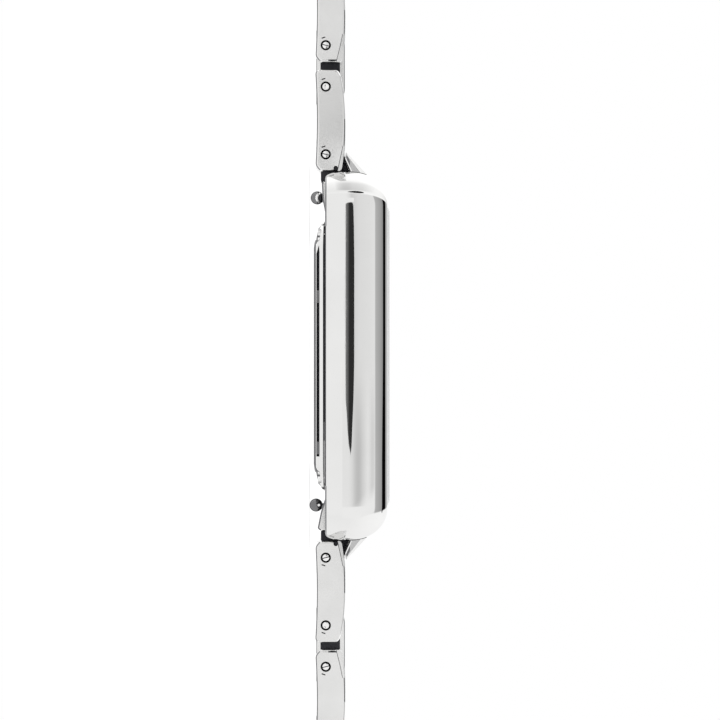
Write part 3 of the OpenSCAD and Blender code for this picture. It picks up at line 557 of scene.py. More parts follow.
# Painted shade: a dark steel laid on narrow edges and lines to draw dark outlines
painted_dark_edge_steel = steel("painted_dark_edge", (0.22, 0.22, 0.225), (0.15, 0.15, 0.155), (0.2, 0.3), grain=(3000,) * 3)
marker_steel = steel("marker_facets", (0.86, 0.87, 0.88), (0.8, 0.81, 0.82), (0.06, 0.1), grain=(2000,) * 3)
hand_steel = steel("hand_facets", (0.3, 0.32, 0.36), (0.2, 0.22, 0.26), (0.08, 0.14), grain=(2000,) * 3)
crystal_glass = glass()
dial_silver = sunray()
glass_edge = solid("crystal_ground", (0.93, 0.94, 0.94), (0.88, 0.89, 0.89), (0.5, 0.6), grain=(900,) * 3, bump=0.02)
print_ink = solid("dial_ink", (0.03, 0.03, 0.035), (0.015, 0.015, 0.02), (0.45, 0.6), grain=(9000,) * 3)
gasket_rubber = solid(
    "gasket_rubber", (0.05, 0.05, 0.05), (0.03, 0.03, 0.03), (0.6, 0.8), grain=(4000,) * 3, bump=0.3)
holder_white = solid("holder_plastic", (0.86, 0.86, 0.84), (0.8, 0.8, 0.78), (0.4, 0.55), grain=(3000,) * 3, bump=0.2)
plate_brass = solid(
    "plate_brass", (0.82, 0.68, 0.38), (0.72, 0.58, 0.3), (0.25, 0.4), grain=(50000, 800, 800), bump=0.3, metal=1.0)
wheel_brass = solid(
    "wheel_brass", (0.86, 0.7, 0.36), (0.78, 0.62, 0.3), (0.15, 0.28), grain=(9000,) * 3, bump=0.15, metal=1.0)
bridge_nickel = solid(
    "bridge_nickel", (0.78, 0.77, 0.75), (0.68, 0.67, 0.65), (0.2, 0.38),
    grain=(800, 50000, 800), bump=0.4, metal=1.0)
board_green = solid("board_mask", (0.06, 0.27, 0.12), (0.03, 0.18, 0.08), (0.2, 0.35), grain=(2500,) * 3, bump=0.15)
coil_copper = solid(
    "coil_wire", (0.8, 0.42, 0.2), (0.5, 0.24, 0.1), (0.2, 0.35), grain=(25000, 10, 10), bump=0.8, metal=1.0)
cell_steel = solid(
    "cell_steel", (0.76, 0.76, 0.75), (0.66, 0.66, 0.65), (0.2, 0.3), grain=(6000,) * 3, bump=0.1, metal=1.0)


# ---------------------------------------------------------------- case

# Height of the widest point, reach of the shoulder and of the foot inwards and upwards or down, pocket of an end
# link, bores of a spring bar and of the crown, and the cup in the crown
SIDE_REACH, SHOULDER_IN, SHOULDER_UP = 2.9, 2.6, 3.5
FOOT_IN, FOOT_DOWN = 0.75, 1.9
POCKET_Y, POCKET_HALF, POCKET_TOP = 12.0, 7.3, 3.3
BAR_BORE_HALF, BAR_BORE_R = 8.75, 0.45
CROWN_BORE_L, CROWN_BORE_R = 5, 0.8
CUP_DEEP, CUP_R = 1.05, 0.95


def case_profile(count=44):
    """Edge of the case as (inset, height): a superellipse shoulder, (height/3.5)^2.4 + (1 - inset/2.6)^1.8 = 1
    over the widest point, and a tighter one, powers 3 and 3.2, for the foot under it."""
    a = np.linspace(0, np.pi / 2, count)
    up = np.stack([SHOULDER_IN * (1 - np.cos(a) ** (2 / 1.8)), SIDE_REACH + SHOULDER_UP * np.sin(a) ** (2 / 2.4)], -1)
    b = np.linspace(np.pi / 2, 0, count // 2)[:-1]
    down = np.stack([FOOT_IN * (1 - np.cos(b) ** (2 / 3.2)), SIDE_REACH - FOOT_DOWN * np.sin(b) ** (2 / 3)], -1)
    return np.concatenate([down, up])


def case_inset(z):
    """Inset of the case's edge at a height, read from its profile."""
    edge = case_profile()
    return np.interp(z, edge[:, 1], edge[:, 0])


def build_case():
    """Case body: the edge form, less the seat of the crystal, the dial's cavity, the opening for the movement, the
    pocket of each end link and the bores of the spring bars and the crown."""
    body = edge_form(CASE_L, CASE_W, CASE_R, case_profile(), 20, 14)
    crystal_l, crystal_w = crystal_high[1] * 2, crystal_high[0] * 2
    dial_l, dial_w = dial_high[1] * 2 + 0.2, dial_high[0] * 2 + 0.2
    dial_z = dial_low[2]
    tools = [
        plate_form(crystal_l + 0.1, crystal_w + 0.1, 0.9, CRYSTAL_Z, RIM_Z + 1),
        plate_form(dial_l, dial_w, 0.6, dial_z, CRYSTAL_Z + 0.3),
        plate_form(OPENING_L, OPENING_W, 1.5, BACK_Z - OVER, dial_z + 0.2),
        moved(lathe([[CASE_W / 2 - CROWN_BORE_L, CROWN_BORE_R], [CASE_W / 2 + OVER, CROWN_BORE_R]], 40),
              (0, 0, CROWN_Z)),
    ]
    for side in SIDES:
        pocket = block(-POCKET_HALF, POCKET_HALF, POCKET_Y, CASE_L / 2 + OVER, BACK_Z - OVER, POCKET_TOP)
        bore = moved(lathe([[-BAR_BORE_HALF, BAR_BORE_R], [BAR_BORE_HALF, BAR_BORE_R]], 32), (0, BAR_Y, BAR_Z))
        tools += [at_side(pocket, side), at_side(bore, side)]
    form = carve(body, tools)

    def choose(centres, normals):
        inset = np.minimum(CASE_W / 2 - np.abs(centres[:, 0]), CASE_L / 2 - np.abs(centres[:, 1]))
        inside = (inset > 3.02) & (centres[:, 2] < RIM_Z - 0.01)
        # Painted shade: dark steel on the case's underside along the joint with the back cover, and a painted dark
        # edge along its foot towards the ends
        seat = (centres[:, 2] < BACK_Z + 0.09) & (np.abs(centres[:, 1]) < POCKET_Y)
        foot = (centres[:, 2] < BACK_Z + 0.12) & (np.abs(centres[:, 1]) >= POCKET_Y)
        return np.select([seat, foot, inside], [2, 3, 1], 0)

    piece("case_shell", form, [case_steel, inner_steel, shadow_steel, painted_dark_edge_steel], "case", ["case_body"],
          choose, 20)


def build_crystal():
    """Crystal: flat glass with a narrow bevel round its front edge; near the top, the bevel and the sides are ground,
    and only a thin facet next to the flat face stays clear.
    """
    l, w, t = crystal_high[1] * 2, crystal_high[0] * 2, crystal_high[2] - CRYSTAL_Z
    edge = [[0.05, 0], [0, 0.05], [0, t - 0.2], [0.03, t - 0.14], [0.27, t - 0.02], [0.32, t]]
    form = moved(edge_form(l, w, 0.9, edge, 12, 6), (0, 0, CRYSTAL_Z))
    piece("crystal_glass", form, [crystal_glass, glass_edge], "case", ["crystal"],
          lambda c, n: np.where((np.abs(n[:, 2]) < 0.9) & (c[:, 2] > RIM_Z - 0.3), 1, 0), 20)


def build_back_cover():
    """Back cover: a flat brushed face, a conical side with an opener's slot along each flank and two lugs in it,
    and a rebate along the joint with the case; a recess for each screw's head. The slot and the rebate are painted
    as shade, the rebate paler towards 6 o'clock, and the rim, the tips of the ends and the walls of the screw
    recesses are painted as dark edges."""
    l, w = cover_high[1] * 2, cover_high[0] * 2
    edge = [
        [2.75, 0], [2.3, 0], [1.85, 0.0], [1.72, 0.03], [1.62, 0.13], [0.9, 0.22], [0.64, 0.26], [0.5, 0.43],
        [0.17, 0.55], [0.1, 0.6], [0.04, 0.81], [0.06, 0.83], [0.45, 0.84], [0.45, 1.0],
    ]
    body = edge_form(l, w, 2.8, edge, 16, 10)

    def lift(y):
        """Share by which the underside closes in on the joint towards the two ends, like the ends of a sledge."""
        return np.interp(np.abs(y), [9.4, 10.25, 11.2, 11.5, 11.93, 12.1], [0, 0.1, 0.19, 0.33, 0.72, 0.85])

    share = lift(body[0][:, 1])
    body[0][:, 2] = share + body[0][:, 2] * (1 - share)
    deep = w / 2 - 1.3
    slot = [[-8.74, 0.24], [8.9, 0.24], [9.6, 0.44], [8.9, 0.49], [-8.74, 0.49]]
    recess = lathe([[-OVER, 0.65], [0.75, 0.65]], 32, 2)
    tools = [moved(recess, (sx * SCREW_X, sy * SCREW_Y, 0)) for sx in BOTH for sy in BOTH]
    tools += two_along_x(slot, deep + 1.0, 1.0)
    ring = edge_form(OPENING_L - 1, OPENING_W - 1, 1.0, [[0, 0.95], [0, 1.3]], 8, 2)
    lug_x, lug_w, lug_l = deep + 0.3, 0.35, 1.08
    lugs = [block(s * lug_x - lug_w, s * lug_x + lug_w, y, y + lug_l, 0.23, 0.5) for s in BOTH for y in (-8.54, 4.62)]
    form = join(carve(body, tools), ring)

    def choose(centres, normals):
        x, y, flat = np.abs(centres[:, 0]), np.abs(centres[:, 1]), np.abs(normals[:, 2])
        share = lift(y)
        z = (centres[:, 2] - share) / (1 - share)
        # Painted shade: the slot and the rebate in dark steel, the rebate paler towards 6 o'clock; painted dark edges
        # on the rim, the end tips and the screw recess walls
        slotted = (z > 0.23) & (z < 0.5) & (y < 9.65) & ((flat > 0.99) | (w / 2 - x > 1.2))
        rebate = (z > 0.825) & (z < 1.01)
        rim = (z > 0.005) & (z < 0.13) & (flat < 0.999)
        tip = (z > 0.005) & (z < np.interp(y, [9.7, 10.3, 10.9, 11.5, 12.1], [0, 0.2, 0.38, 0.6, 0.8]))
        tip |= (np.hypot(x - SCREW_X, y - SCREW_Y) < 0.66) & (centres[:, 2] < 0.8) & (flat < 0.5)
        pale, paler = centres[:, 1] < -5.3, centres[:, 1] < -8.0
        return np.select(
            [slotted, rebate & paler, rebate & pale, rebate, rim | tip, z < 0.005], [2, 4, 3, 2, 3, 1], 0)

    piece("back_lid", form, [case_steel, cover_steel, shadow_steel, painted_dark_edge_steel, painted_grey_shade_steel], "case", ["back_cover"],
          choose, 24)
    # The lugs take the dark steel as painted shade of the slot they stand in
    piece("back_lid_lugs", join(*lugs), [dark_shade_steel], "case")


def track_point(angle, x, y):
    """Where a ray at an angle from 12 o'clock meets a rectangle of half sizes x and y."""
    s, c = np.abs(np.sin(angle)), np.abs(np.cos(angle))
    reach = np.minimum(x / np.maximum(s, TINY), y / np.maximum(c, TINY))
    return np.stack([reach * np.sin(angle), reach * np.cos(angle)], -1)


def baton(width, length, height):
    """Applied marker: a straight foot, then four facets that close in to a narrow flat top."""
    half = np.array([[-1, -1], [1, -1], [1, 1], [-1, 1]], float) * [width / 2, length / 2]
    size = np.array([width, length])
    stations = ((0, 0), (0, height * 0.45), (width * 0.42, height))
    return skin(np.array([np.column_stack([half * (1 - 2 * k / size), np.full(4, z)]) for k, z in stations]))


# Markers: width, length, height, distance from the dial's edge, and the twins' from their middle. Print: thickness,
# distance from the edge to the middle of a mark, and half its length
MARKER_W, MARKER_L, MARKER_T, MARKER_IN, MARKER_TWIN = 0.45, 1.9, 0.2, 1.25, 0.35
INK, MINUTE_IN, MINUTE_HALF = 0.008, 0.42, 0.15


def build_dial():
    """Hour markers on a rectangular track, with the minute track printed outside them."""
    half = np.array(dial_high[:2])
    track_x, track_y = half - MARKER_IN - MARKER_L / 2 + MARKER_W
    batons = []
    for hour, place in enumerate(track_point(np.radians(np.arange(12) * 30), track_x, track_y)):
        for off in ((-MARKER_TWIN, MARKER_TWIN) if hour == 0 else (0,)):
            one = turned(moved(baton(MARKER_W, MARKER_L, MARKER_T), (off, 0, 0)), 2, -30 * hour)
            batons.append(moved(one, (*place, DIAL_TOP)))
    piece("marker_batons", join(*batons), [marker_steel], "case", ["hour_markers"], sharp=10)
    marks = []
    for minute in range(60):
        x, y = track_point(np.array([math.radians(6 * minute)]), *(half - MINUTE_IN))[0]
        wide = (0.13 if minute % 5 == 0 else 0.06) / 2
        upright = abs(y) >= half[1] - MINUTE_IN - 0.01
        a, b = (wide, MINUTE_HALF) if upright else (MINUTE_HALF, wide)
        marks.append(block(x - a, x + a, y - b, y + b, DIAL_TOP, DIAL_TOP + INK))
    frame_lines = []
    for inset in (0.2, 0.64):
        l, w, r = 2 * (half[1] - inset), 2 * (half[0] - inset), 0.3
        centres, ways = corner_path(l, w, r, 6, 4)
        stations = ((0, 0), (0, INK), (0.035, INK), (0.035, 0), (0, 0))
        rings = [np.column_stack([centres + ways * (r - k), np.full(len(ways), z)]) for k, z in stations]
        frame_lines.append(moved(skin(np.array(rings), caps=False), (0, 0, DIAL_TOP)))
    piece("minute_track", join(*marks, *frame_lines), [print_ink], "case")


def hand_form(length, hub, bore):
    """Dauphine hand: a tapered blade whose two facets meet in a ridge along its middle, and a turned hub."""
    side = np.array([[0.31, -1.1], [0.33, -0.2], [0.36, 0.9], [0.1, length - 0.2], [0.0, length]])
    outline = np.concatenate([side, side[::-1][1:] * [-1, 1]])
    stations = ((1, 0), (1, 0.04), (0.02, 0.11))
    rings = [np.column_stack([outline * [k, 1], np.full(len(outline), z)]) for k, z in stations]
    boss = lathe([[0, bore], [0, hub], [0.07, hub], [0.1, hub - 0.05], [0.11, bore + 0.1], [0.115, bore]], 48, 2)
    return join(skin(np.array(rings)), boss)


def build_hands():
    """Hour and minute hand at ten past ten, less a minute."""
    minute_l = dial_high[0] - 0.95
    for name, length, hub, bore, z, angle, body in (
        ("hour_blade", minute_l * 0.66, 0.95, 0.6, 0.4, -30 * (10 + 9 / 60), "hour_hand_set"),
        ("minute_blade", minute_l, 0.62, 0.33, 0.7, -6 * 9, "minute_hand_set"),
    ):
        form = moved(turned(hand_form(length, hub, bore), 2, angle), (0, 0, DIAL_TOP + z))
        piece(name, form, [hand_steel], body, [name.replace("blade", "hand")], sharp=12)


def build_crown():
    """Crown: radius follows the turned profile, less 24 rounded flutes that fade out towards both ends; a cup in
    its inner side takes the tube."""
    x = np.array([0, 0.03, 0.12, 0.2, 0.35, 0.8, 1.2, 1.5, 1.58, 1.66, 1.74, 1.79, 1.83, 1.85])
    r = np.array([1.42, 1.46, 1.5, 1.57, 1.6, 1.6, 1.6, 1.57, 1.5, 1.42, 1.36, 1.28, 0.9, 0.02])
    deep = np.interp(x, [0.0, 0.25, 1.4, 1.56], [0.0, 0.12, 0.12, 0.0])
    flutes, steps = 24, 10
    a = np.arange(flutes * steps) * 2 * np.pi / (flutes * steps)
    wave = (0.5 - 0.5 * np.cos(flutes * a)) ** 0.6
    radius = r[:, None] - deep[:, None] * wave[None]
    radius = np.maximum(radius, HAIR)
    rings = np.stack([np.repeat(x[:, None], len(a), 1), radius * np.cos(a), radius * np.sin(a)], -1)
    form = moved(skin(rings), (crown_low[0], 0, CROWN_Z))
    form = carve(form, [moved(lathe([[-OVER, CUP_R], [CUP_DEEP, CUP_R]], 40), (crown_low[0], 0, CROWN_Z))])
    piece("crown_cap", form, [case_steel], "crown_set", ["crown"], sharp=35)


# ---------------------------------------------------------------- bracelet

def stepped(outline, most):
    """Closed outline with points added on every side longer than the given length."""
    ends = np.roll(outline, -1, 0)
    parts = np.maximum(np.ceil(np.linalg.norm(ends - outline, axis=1) / most).astype(int), 1)
    return np.concatenate([p + (q - p) * (np.arange(k) / k)[:, None] for p, q, k in zip(outline, ends, parts)])


# Places from the first pin: sighting hole of the first link and of the others, mark beside each pin. Cuts on the
# front edge of a plate: (place, height, depth).
SPOT, SLIT, DASH = (-1.2, 0.87), (-1.32, 0.6), (0.66, -0.2)
SPOT_R, SLIT_W, SLIT_L = 0.2, 0.07, 0.19
FIRST_CUT = ((0.75, 1.47, 0.1), (-0.1, 1.29, 0.3), (-1.8, 0.92, 0.5))
OTHER_CUT = ((0.96, 1.44, 0.1), (-0.1, 1.22, 0.3), (-1.8, 0.8, 0.5))


def plate_outline():
    """Side view of an outer link, first pin at (0, 0): a rounded box, then bent. With u from -1 to 1 along it, its
    front falls off by a share 0.19 |u|^2.6 of its height to the near end and 0.3 |u|^2.2 to the far one, and its back
    is dished by 0.15 (1 - u^2). With the height running from 0 at the back to 1 at the front, the first is weighed by
    its square and the second by the square of one less it."""
    l, crown, drop, dish, middle = 8.82, 1.69, 0.93, 0.15, PIN_SPAN / 2
    box = softened(
        [[l / 2, crown], [-l / 2, crown], [-l / 2, 0.45 - drop], [0.5 - l / 2, -drop], [l / 2, -drop]],
        [0.62, 0.34, 0.24, 0.24, 0.42], 9)
    box = stepped(box, 0.55)
    u = box[:, 0] / (l / 2)
    high = np.clip((box[:, 1] + drop) / (crown + drop), 0, 1)
    fall = np.where(u < 0, 0.19 * np.abs(u) ** 2.6, 0.3 * np.abs(u) ** 2.2)
    bent = box[:, 1] - high ** 2 * crown * fall + (1 - high) ** 2 * dish * (1 - u ** 2)
    return np.stack([box[:, 0] + middle, bent], -1)


def outer_link_form(first):
    """Two plates with a flat polished bevel round the outer face, and the crossbar between them; two pin bores, a
    short mark beside each, and a small sighting hole, which is a slit except in the first link."""
    out, over = BRACELET_W / 2, BRACELET_W / 2 + OVER
    plate = through(plate_outline(), [
        (PLATE_X, 0.1), (PLATE_X + 0.08, 0.02), (PLATE_X + 0.14, 0.0), (out - 0.24, 0.0), (out - 0.12, 0.03),
        (out - 0.05, 0.09), (out, 0.22), (out, 0.225),
    ])
    pins = (0, PIN_SPAN)
    bore = lathe([[PLATE_X - OVER, PIN_BORE_R], [over, PIN_BORE_R]], 36)
    tools = [moved(bore, (0, y, 0)) for y in pins]
    if first:
        tools.append(moved(lathe([[out - 0.3, SPOT_R], [over, SPOT_R]], 20), (0, *SPOT)))
    else:
        tools.append(moved(block(out - 0.3, over, -SLIT_W, SLIT_W, -SLIT_L, SLIT_L), (0, *SLIT)))
    dash = turned(block(out - 0.12, over, -0.05, 0.05, -0.17, 0.17), 0, -18)
    tools += [moved(dash, (0, y + DASH[0], DASH[1])) for y in pins]
    high = 1.4
    cut = skin(np.array([
        [[out - 0.1, y, z], [over, y, z], [over, y, z + high], [out - 0.1 - deep, y, z + high],
         [out - 0.15, y, z + 0.05]]
        for y, z, deep in (FIRST_CUT if first else OTHER_CUT)
    ]))
    right = carve(plate, [join(*tools), cut])
    near, far, low, top = PIN_SPAN / 2 - 1.15, PIN_SPAN / 2 + 1.15, -0.7, 1.64
    bar = softened([[near, low], [far, low], [far, top], [near, top]], 0.2)
    return join(right, flipped(right, 0), along_x(bar, -PLATE_X - OVER, PLATE_X + OVER))


def pin_form(slotted):
    """Bracelet pin: a plain shank whose ends narrow to a flat head with a domed rim, the head standing in a ring of
    shadow; a driver's slot in the head of the screwed ones."""
    r, half = PIN_D / 2, BRACELET_W / 2 - 0.05
    head = [
        [half - 0.5, r], [half - 0.34, r - 0.01], [half - 0.32, r - 0.07], [half - 0.08, r - 0.07],
        [half - 0.02, r - 0.11], [half, r - 0.18],
    ]
    head += [[half, 0.01]] if slotted else [[half - 0.02, r - 0.22], [half - 0.02, 0.01]]
    form = lathe([[-s, k] for s, k in head[::-1]] + head, 36)
    if slotted:
        cuts = [turned(block(s * half - 0.1, s * half + 0.1, -0.04, 0.04, -0.5, 0.5), 0, 14) for s in BOTH]
        form = carve(form, [join(*cuts)])
    return form


def centre_link_form(l):
    """Centre link: two round ends joined by flat faces, its back clipped flat, its sides slightly rounded."""
    r = KNUCKLE_R
    a = np.linspace(math.asin(-KNUCKLE_DROP / r), np.pi / 2, 16)
    far = np.stack([l + r * np.cos(a), r * np.sin(a)], -1)
    near = np.stack([-r * np.cos(a[::-1]), r * np.sin(a[::-1])], -1)
    return along_x(np.concatenate([far, near]), -CENTRE_W / 2, CENTRE_W / 2, [(0, 0.42)] + rounded_ends(0.12, 4))


def hood_form():
    """Hood of an end link: a blade from its tip over the pin up to the case, whose inner side follows the case's
    edge at a small gap. Its ends are stepped: a wide polished strip along the outer edge, a narrow one along the
    inner edge, and between them a band painted grey as shade, with a thin plate on it painted darker as shade."""
    y, z = END_PIN_Y, PIN_Z
    height = np.linspace(z + 3.58, z + 2.2, 12)
    inner = np.stack([CASE_L / 2 - case_inset(height) + 0.07, height], -1)
    nib, heel, tip = np.array([[y - 0.36, z + 1.69], [y + 0.05, z + 1.73], [y + 0.18, z + 1.8]])
    outline = softened(np.concatenate([[nib, heel, tip], inner]), [0.05] * 3 + [0.06] * 12, 3)
    out = BRACELET_W / 2
    blade = along_x(outline, 0.06 - out, out - 0.06)
    run = (inner[0] - tip) / np.linalg.norm(inner[0] - tip)
    across = np.array([-run[1], run[0]])
    across = across * np.sign(np.dot(inner[-1] - tip, across))
    last = np.argmax((inner - tip) @ across > 0.33)
    turn = tip + run * ((inner[last] - tip) @ run) + across * 0.3
    wide = np.concatenate([[tip], inner[:last + 1], [turn, heel + run * 0.15]])
    edge = inner[-1] - nib
    lift = np.array([-edge[1], edge[0]]) / np.linalg.norm(edge)
    lift = lift * np.sign(np.dot(tip - nib, lift)) * 0.09
    rise = edge / np.linalg.norm(edge)
    thin = [nib, inner[-1], inner[-1] + lift, nib + lift]
    shade = [heel + run * 0.15, tip + run * 0.8 + across * 0.3, nib + rise * 0.75 + lift, nib + lift]
    strips = two_along_x(wide, out - 0.06, 0.06) + two_along_x(thin, out - 0.06, 0.06)
    return join(blade, *strips, *two_along_x(shade, out - 0.07, 0.04))


def end_link_form(swell):
    """End link: barrel on the spring bar, flap under the case, neck, knuckle on its own pin, and the hood. The flap
    stands off the case by a swell that grows evenly from nothing at its thin end."""
    y, z, out = END_PIN_Y, PIN_Z, BRACELET_W / 2
    barrel = lathe([[-out, 0.87], [0.08 - out, 0.95], [out - 0.08, 0.95], [out, 0.87]], 48)
    barrel = moved(barrel, (0, BAR_Y, BAR_Z))
    flap = softened([
        [BAR_Y - 0.95, BAR_Z - 0.4], [BAR_Y - 0.95, BAR_Z - 0.98], [BAR_Y + 0.3, BAR_Z - 1.22 - swell * 0.45],
        [BAR_Y + 1.7, BAR_Z - 1.3 - swell], [BAR_Y + 1.9, BAR_Z - 1.2 - swell * 0.7],
        [BAR_Y + 1.9, BAR_Z - 0.4], [BAR_Y, BAR_Z],
    ], 0.15)
    flap = along_x(flap, -out, out, [(0, 0.12), (0.04, 0.08), (0.14, 0.0)])
    neck = softened([
        [BAR_Y, BAR_Z - 0.4], [y - 2.21, z - 0.45], [y - 1.36, z - 0.45], [y, z], [y, z + 1.7],
        [y - 1.48, z + 2.13], [BAR_Y, BAR_Z + 0.85],
    ], 0.12)
    neck = along_x(neck, 0.03 - CENTRE_W / 2, CENTRE_W / 2 - 0.03, rounded_ends(0.1, 4))
    points, faces = centre_link_form(0)
    points[:, 1] *= np.where(points[:, 1] < 0, 0.82, 1)
    knuckle = moved((points, faces), (0, y, z))
    window = block(-LEVER_X - 0.5, -LEVER_X + 1.72, BAR_Y - 0.75, BAR_Y + 0.75, BAR_Z - 2, BAR_Z)
    return join(carve(barrel, [window]), carve(flap, [window]), neck, knuckle, hood_form())


def release_form(lever, swing):
    """Quick-release pin: a rod along the spring bar, a lever out of the slot and a round knob with a flat foot."""
    rod = lathe([[-8.6, 0.34], [-8.54, 0.4], [-4.1, 0.4]], 32)
    stem = lathe([[-lever, 0.25], [0.0, 0.25]], 24, 2)
    a = np.linspace(-1.45, 1.45, 40)
    ball = lathe(np.stack([KNOB_R * np.sin(a) * 0.98, KNOB_R * np.cos(a) ** 0.85], -1), 60, 0)
    knob = turned(moved(join(stem, moved(ball, (0, 0, -lever))), (-LEVER_X, 0, 0)), 0, swing)
    return moved(join(rod, knob), (0, BAR_Y, BAR_Z))


def in_bore(centres, normals):
    """The side of a pin's head, down in its ring of shadow, takes the second finish: dark steel painted as that
    shadow.
    """
    depth = BRACELET_W / 2 - np.abs(centres[:, 0])
    return np.where((depth > 0.09) & (depth < 0.6), 1, 0)


# For each side: how far the flap stands off the case, length of the release lever and its swing in degrees
END_LINKS = {"12": (0.0, 1.78, 16.7), "6": (0.36, 1.83, -8.8)}


def build_bracelet():
    """Every link, pin and end link of both sides and the two release pins; each link on its own body, its pins riding
    on the same one.
    """
    link_steels = [bevel_steel, flank_steel, top_steel, shadow_steel, painted_dark_edge_steel]
    first_outer, outer, centre = outer_link_form(True), outer_link_form(False), centre_link_form(CENTRE_SPAN)
    plain, screwed = pin_form(False), pin_form(True)

    def link_finish(centres, normals):
        """Brushed flanks and front, polished in between."""
        aside = np.abs(normals[:, 0])
        return np.where(aside > 0.9, 1, np.where((normals[:, 2] > 0.5) & (aside < 0.2), 2, 0))

    def outer_finish(first):
        """Finish of an outer link whose first pin is at y = first: painted shade in its bores, marks and sighting
        hole, and painted dark edges outside the bevel along its front and back, with a painted dark line on the front
        near the first pin."""
        def choose(centres, normals):
            y, z = np.abs(centres[:, 1]) - first, centres[:, 2] - PIN_Z
            depth = BRACELET_W / 2 - np.abs(centres[:, 0])
            holes = [(0, 0, 0.46), (PIN_SPAN, 0, 0.46), (*SPOT, 0.205)]
            holes += [(pin + DASH[0], DASH[1], 0.24) for pin in (0, PIN_SPAN)]
            inside = np.any([np.hypot(y - a, z - b) < r for a, b, r in holes], axis=0)
            if first > END_PIN_Y + 1:
                inside |= (np.abs(y - SLIT[0]) < 0.075) & (np.abs(z - SLIT[1]) < 0.195)
            # Painted shade in the holes; a painted dark line on the front near the first pin and painted dark edges
            # outside the bevel
            shaded = (depth > 0.015) & (depth < 2.0) & inside
            line = (depth > 0.02) & (depth < 0.13) & (z > 0) & (y < 0.9) & (normals[:, 2] > 0.9)
            edge = (depth > 0.06) & (depth < 0.2) & ((normals[:, 2] < -0.4) | ((normals[:, 2] > 0.4) & (y < 3.2)))
            return np.select([shaded, edge | line], [3, 4], link_finish(centres, normals))
        return choose

    def end_finish(centres, normals):
        """The neck between case and first pin and the hood's underside are painted as deep shade; the hood's end
        faces are painted grey as shade, the thin plate on them darker, and the lower edges of the flap's ends are
        painted dark.
        """
        y, z, x = np.abs(centres[:, 1]), centres[:, 2], np.abs(centres[:, 0])
        # Painted deep shade on the neck and under the hood
        neck = (x < CENTRE_W / 2 + 0.01) & (y > BAR_Y + 0.9) & (y < END_PIN_Y - 1.3)
        under = (x > CENTRE_W / 2) & (z > PIN_Z + 1.5) & (normals[:, 2] < -0.2)
        hood = (z > PIN_Z + 1.66) & (y < END_PIN_Y + 0.25) & (x > CENTRE_W / 2)
        strip = hood & (x > BRACELET_W / 2 - 0.02)
        # Painted shade on the hood's end faces: grey on the blade, darker on the thin plate over it; the flap's lower
        # edges painted dark
        ground = hood & (np.abs(normals[:, 0]) > 0.9)
        shade = ground & (x > BRACELET_W / 2 - 0.05)
        rim = (z < BAR_Z - 0.5) & (x > BRACELET_W / 2 - 0.13)
        rim &= (normals[:, 2] < -0.1) & (np.abs(normals[:, 0]) < 0.97)
        return np.select([neck | under, strip, shade | rim, ground], [3, 0, 4, 5], link_finish(centres, normals))

    def centre_finish(centres, normals):
        """Flank with a bright rim and painted shade over its middle, which lies deep between two pairs of plates; the
        rounded edges round the flank are painted dark as shade.
        """
        side, z = np.abs(normals[:, 0]), centres[:, 2] - PIN_Z
        flat = side > 0.9
        return np.select([flat & (z > -0.1) & (z < 1.0), flat, side > 0.1], [2, 1, 3], 0)

    for side in SIDES:
        for i in range(1, LINKS + 1):
            y, name = END_PIN_Y + (i - 1) * PITCH, f"{side}_{i}"
            link = moved(first_outer if i == 1 else outer, (0, y, PIN_Z))
            piece(f"link_{name}", at_side(link, side), link_steels, f"outer_{name}", [f"outer_link_{name}"],
                  outer_finish(y), 24)
            pair = join(moved(screwed, (0, y, PIN_Z)), moved(plain, (0, y + PIN_SPAN, PIN_Z)))
            piece(f"pins_{name}", at_side(pair, side), [pin_steel, shadow_steel], f"outer_{name}",
                  [f"link_pins_{name}"], in_bore)
            if i < LINKS:
                bar = moved(centre, (0, y + PIN_SPAN, PIN_Z))
                piece(f"centre_{name}_bar", at_side(bar, side), [centre_steel, flank_steel, shadow_steel, painted_dark_edge_steel],
                      f"centre_{name}", [f"centre_link_{name}"], centre_finish)
        end_link = end_link_form(END_LINKS[side][0])
        piece(f"end_hood_{side}", at_side(end_link, side), link_steels + [painted_grey_shade_steel], f"end_link_{side}",
              [f"end_link_{side}"], end_finish, 24)
    for side, (_, lever, swing) in END_LINKS.items():
        angle = math.radians(swing)
        middle = np.array([BAR_Y + lever * math.sin(angle), BAR_Z - lever * math.cos(angle)])

        def knob_finish(centres, normals):
            """Across the knob's side: dark steel as painted shade, a painted highlight near its middle, and painted
            shade round its rim and past the highlight.
            """
            off = (np.abs(centres[:, [1]]) * [1, 0] + centres[:, [2]] * [0, 1] - middle) / KNOB_R

            def away(up):
                """Distance from a point straight up from the knob's middle, in radii of the knob."""
                return np.hypot(off[:, 0], off[:, 1] - up)

            ball = away(0) < 1.1
            # Painted highlight in bright pin steel: a crescent at 12 o'clock, a small spot at 6 o'clock; painted
            # shade round the rim and past it
            crescent = (away(0.52) < 0.8) & (away(0.86) > 0.74) if side == "12" else away(0.42) < 0.2
            return np.select([ball & (away(0) > 0.87), ball & crescent, ball & (away(0.86) < 0.74)], [2, 1, 2], 0)

        piece(f"release_{side}_knob", at_side(release_form(lever, swing), side),
              [dark_shade_steel, pin_steel, shadow_steel, painted_dark_edge_steel], f"release_{side}", [f"release_pin_{side}"],
              knob_finish, 35)


# Half width of both tongues; start, top and length of the lid; length of the catch, its slot and its rod's radius
TONGUE_HALF = 3.1
LID_Y, LID_TOP, LID_L = 3.9, 1.69, CLASP_L + 0.4 - 3.9
CATCH_L, CATCH_SLOT, ROD_R = 8.6, 3.6, 0.38


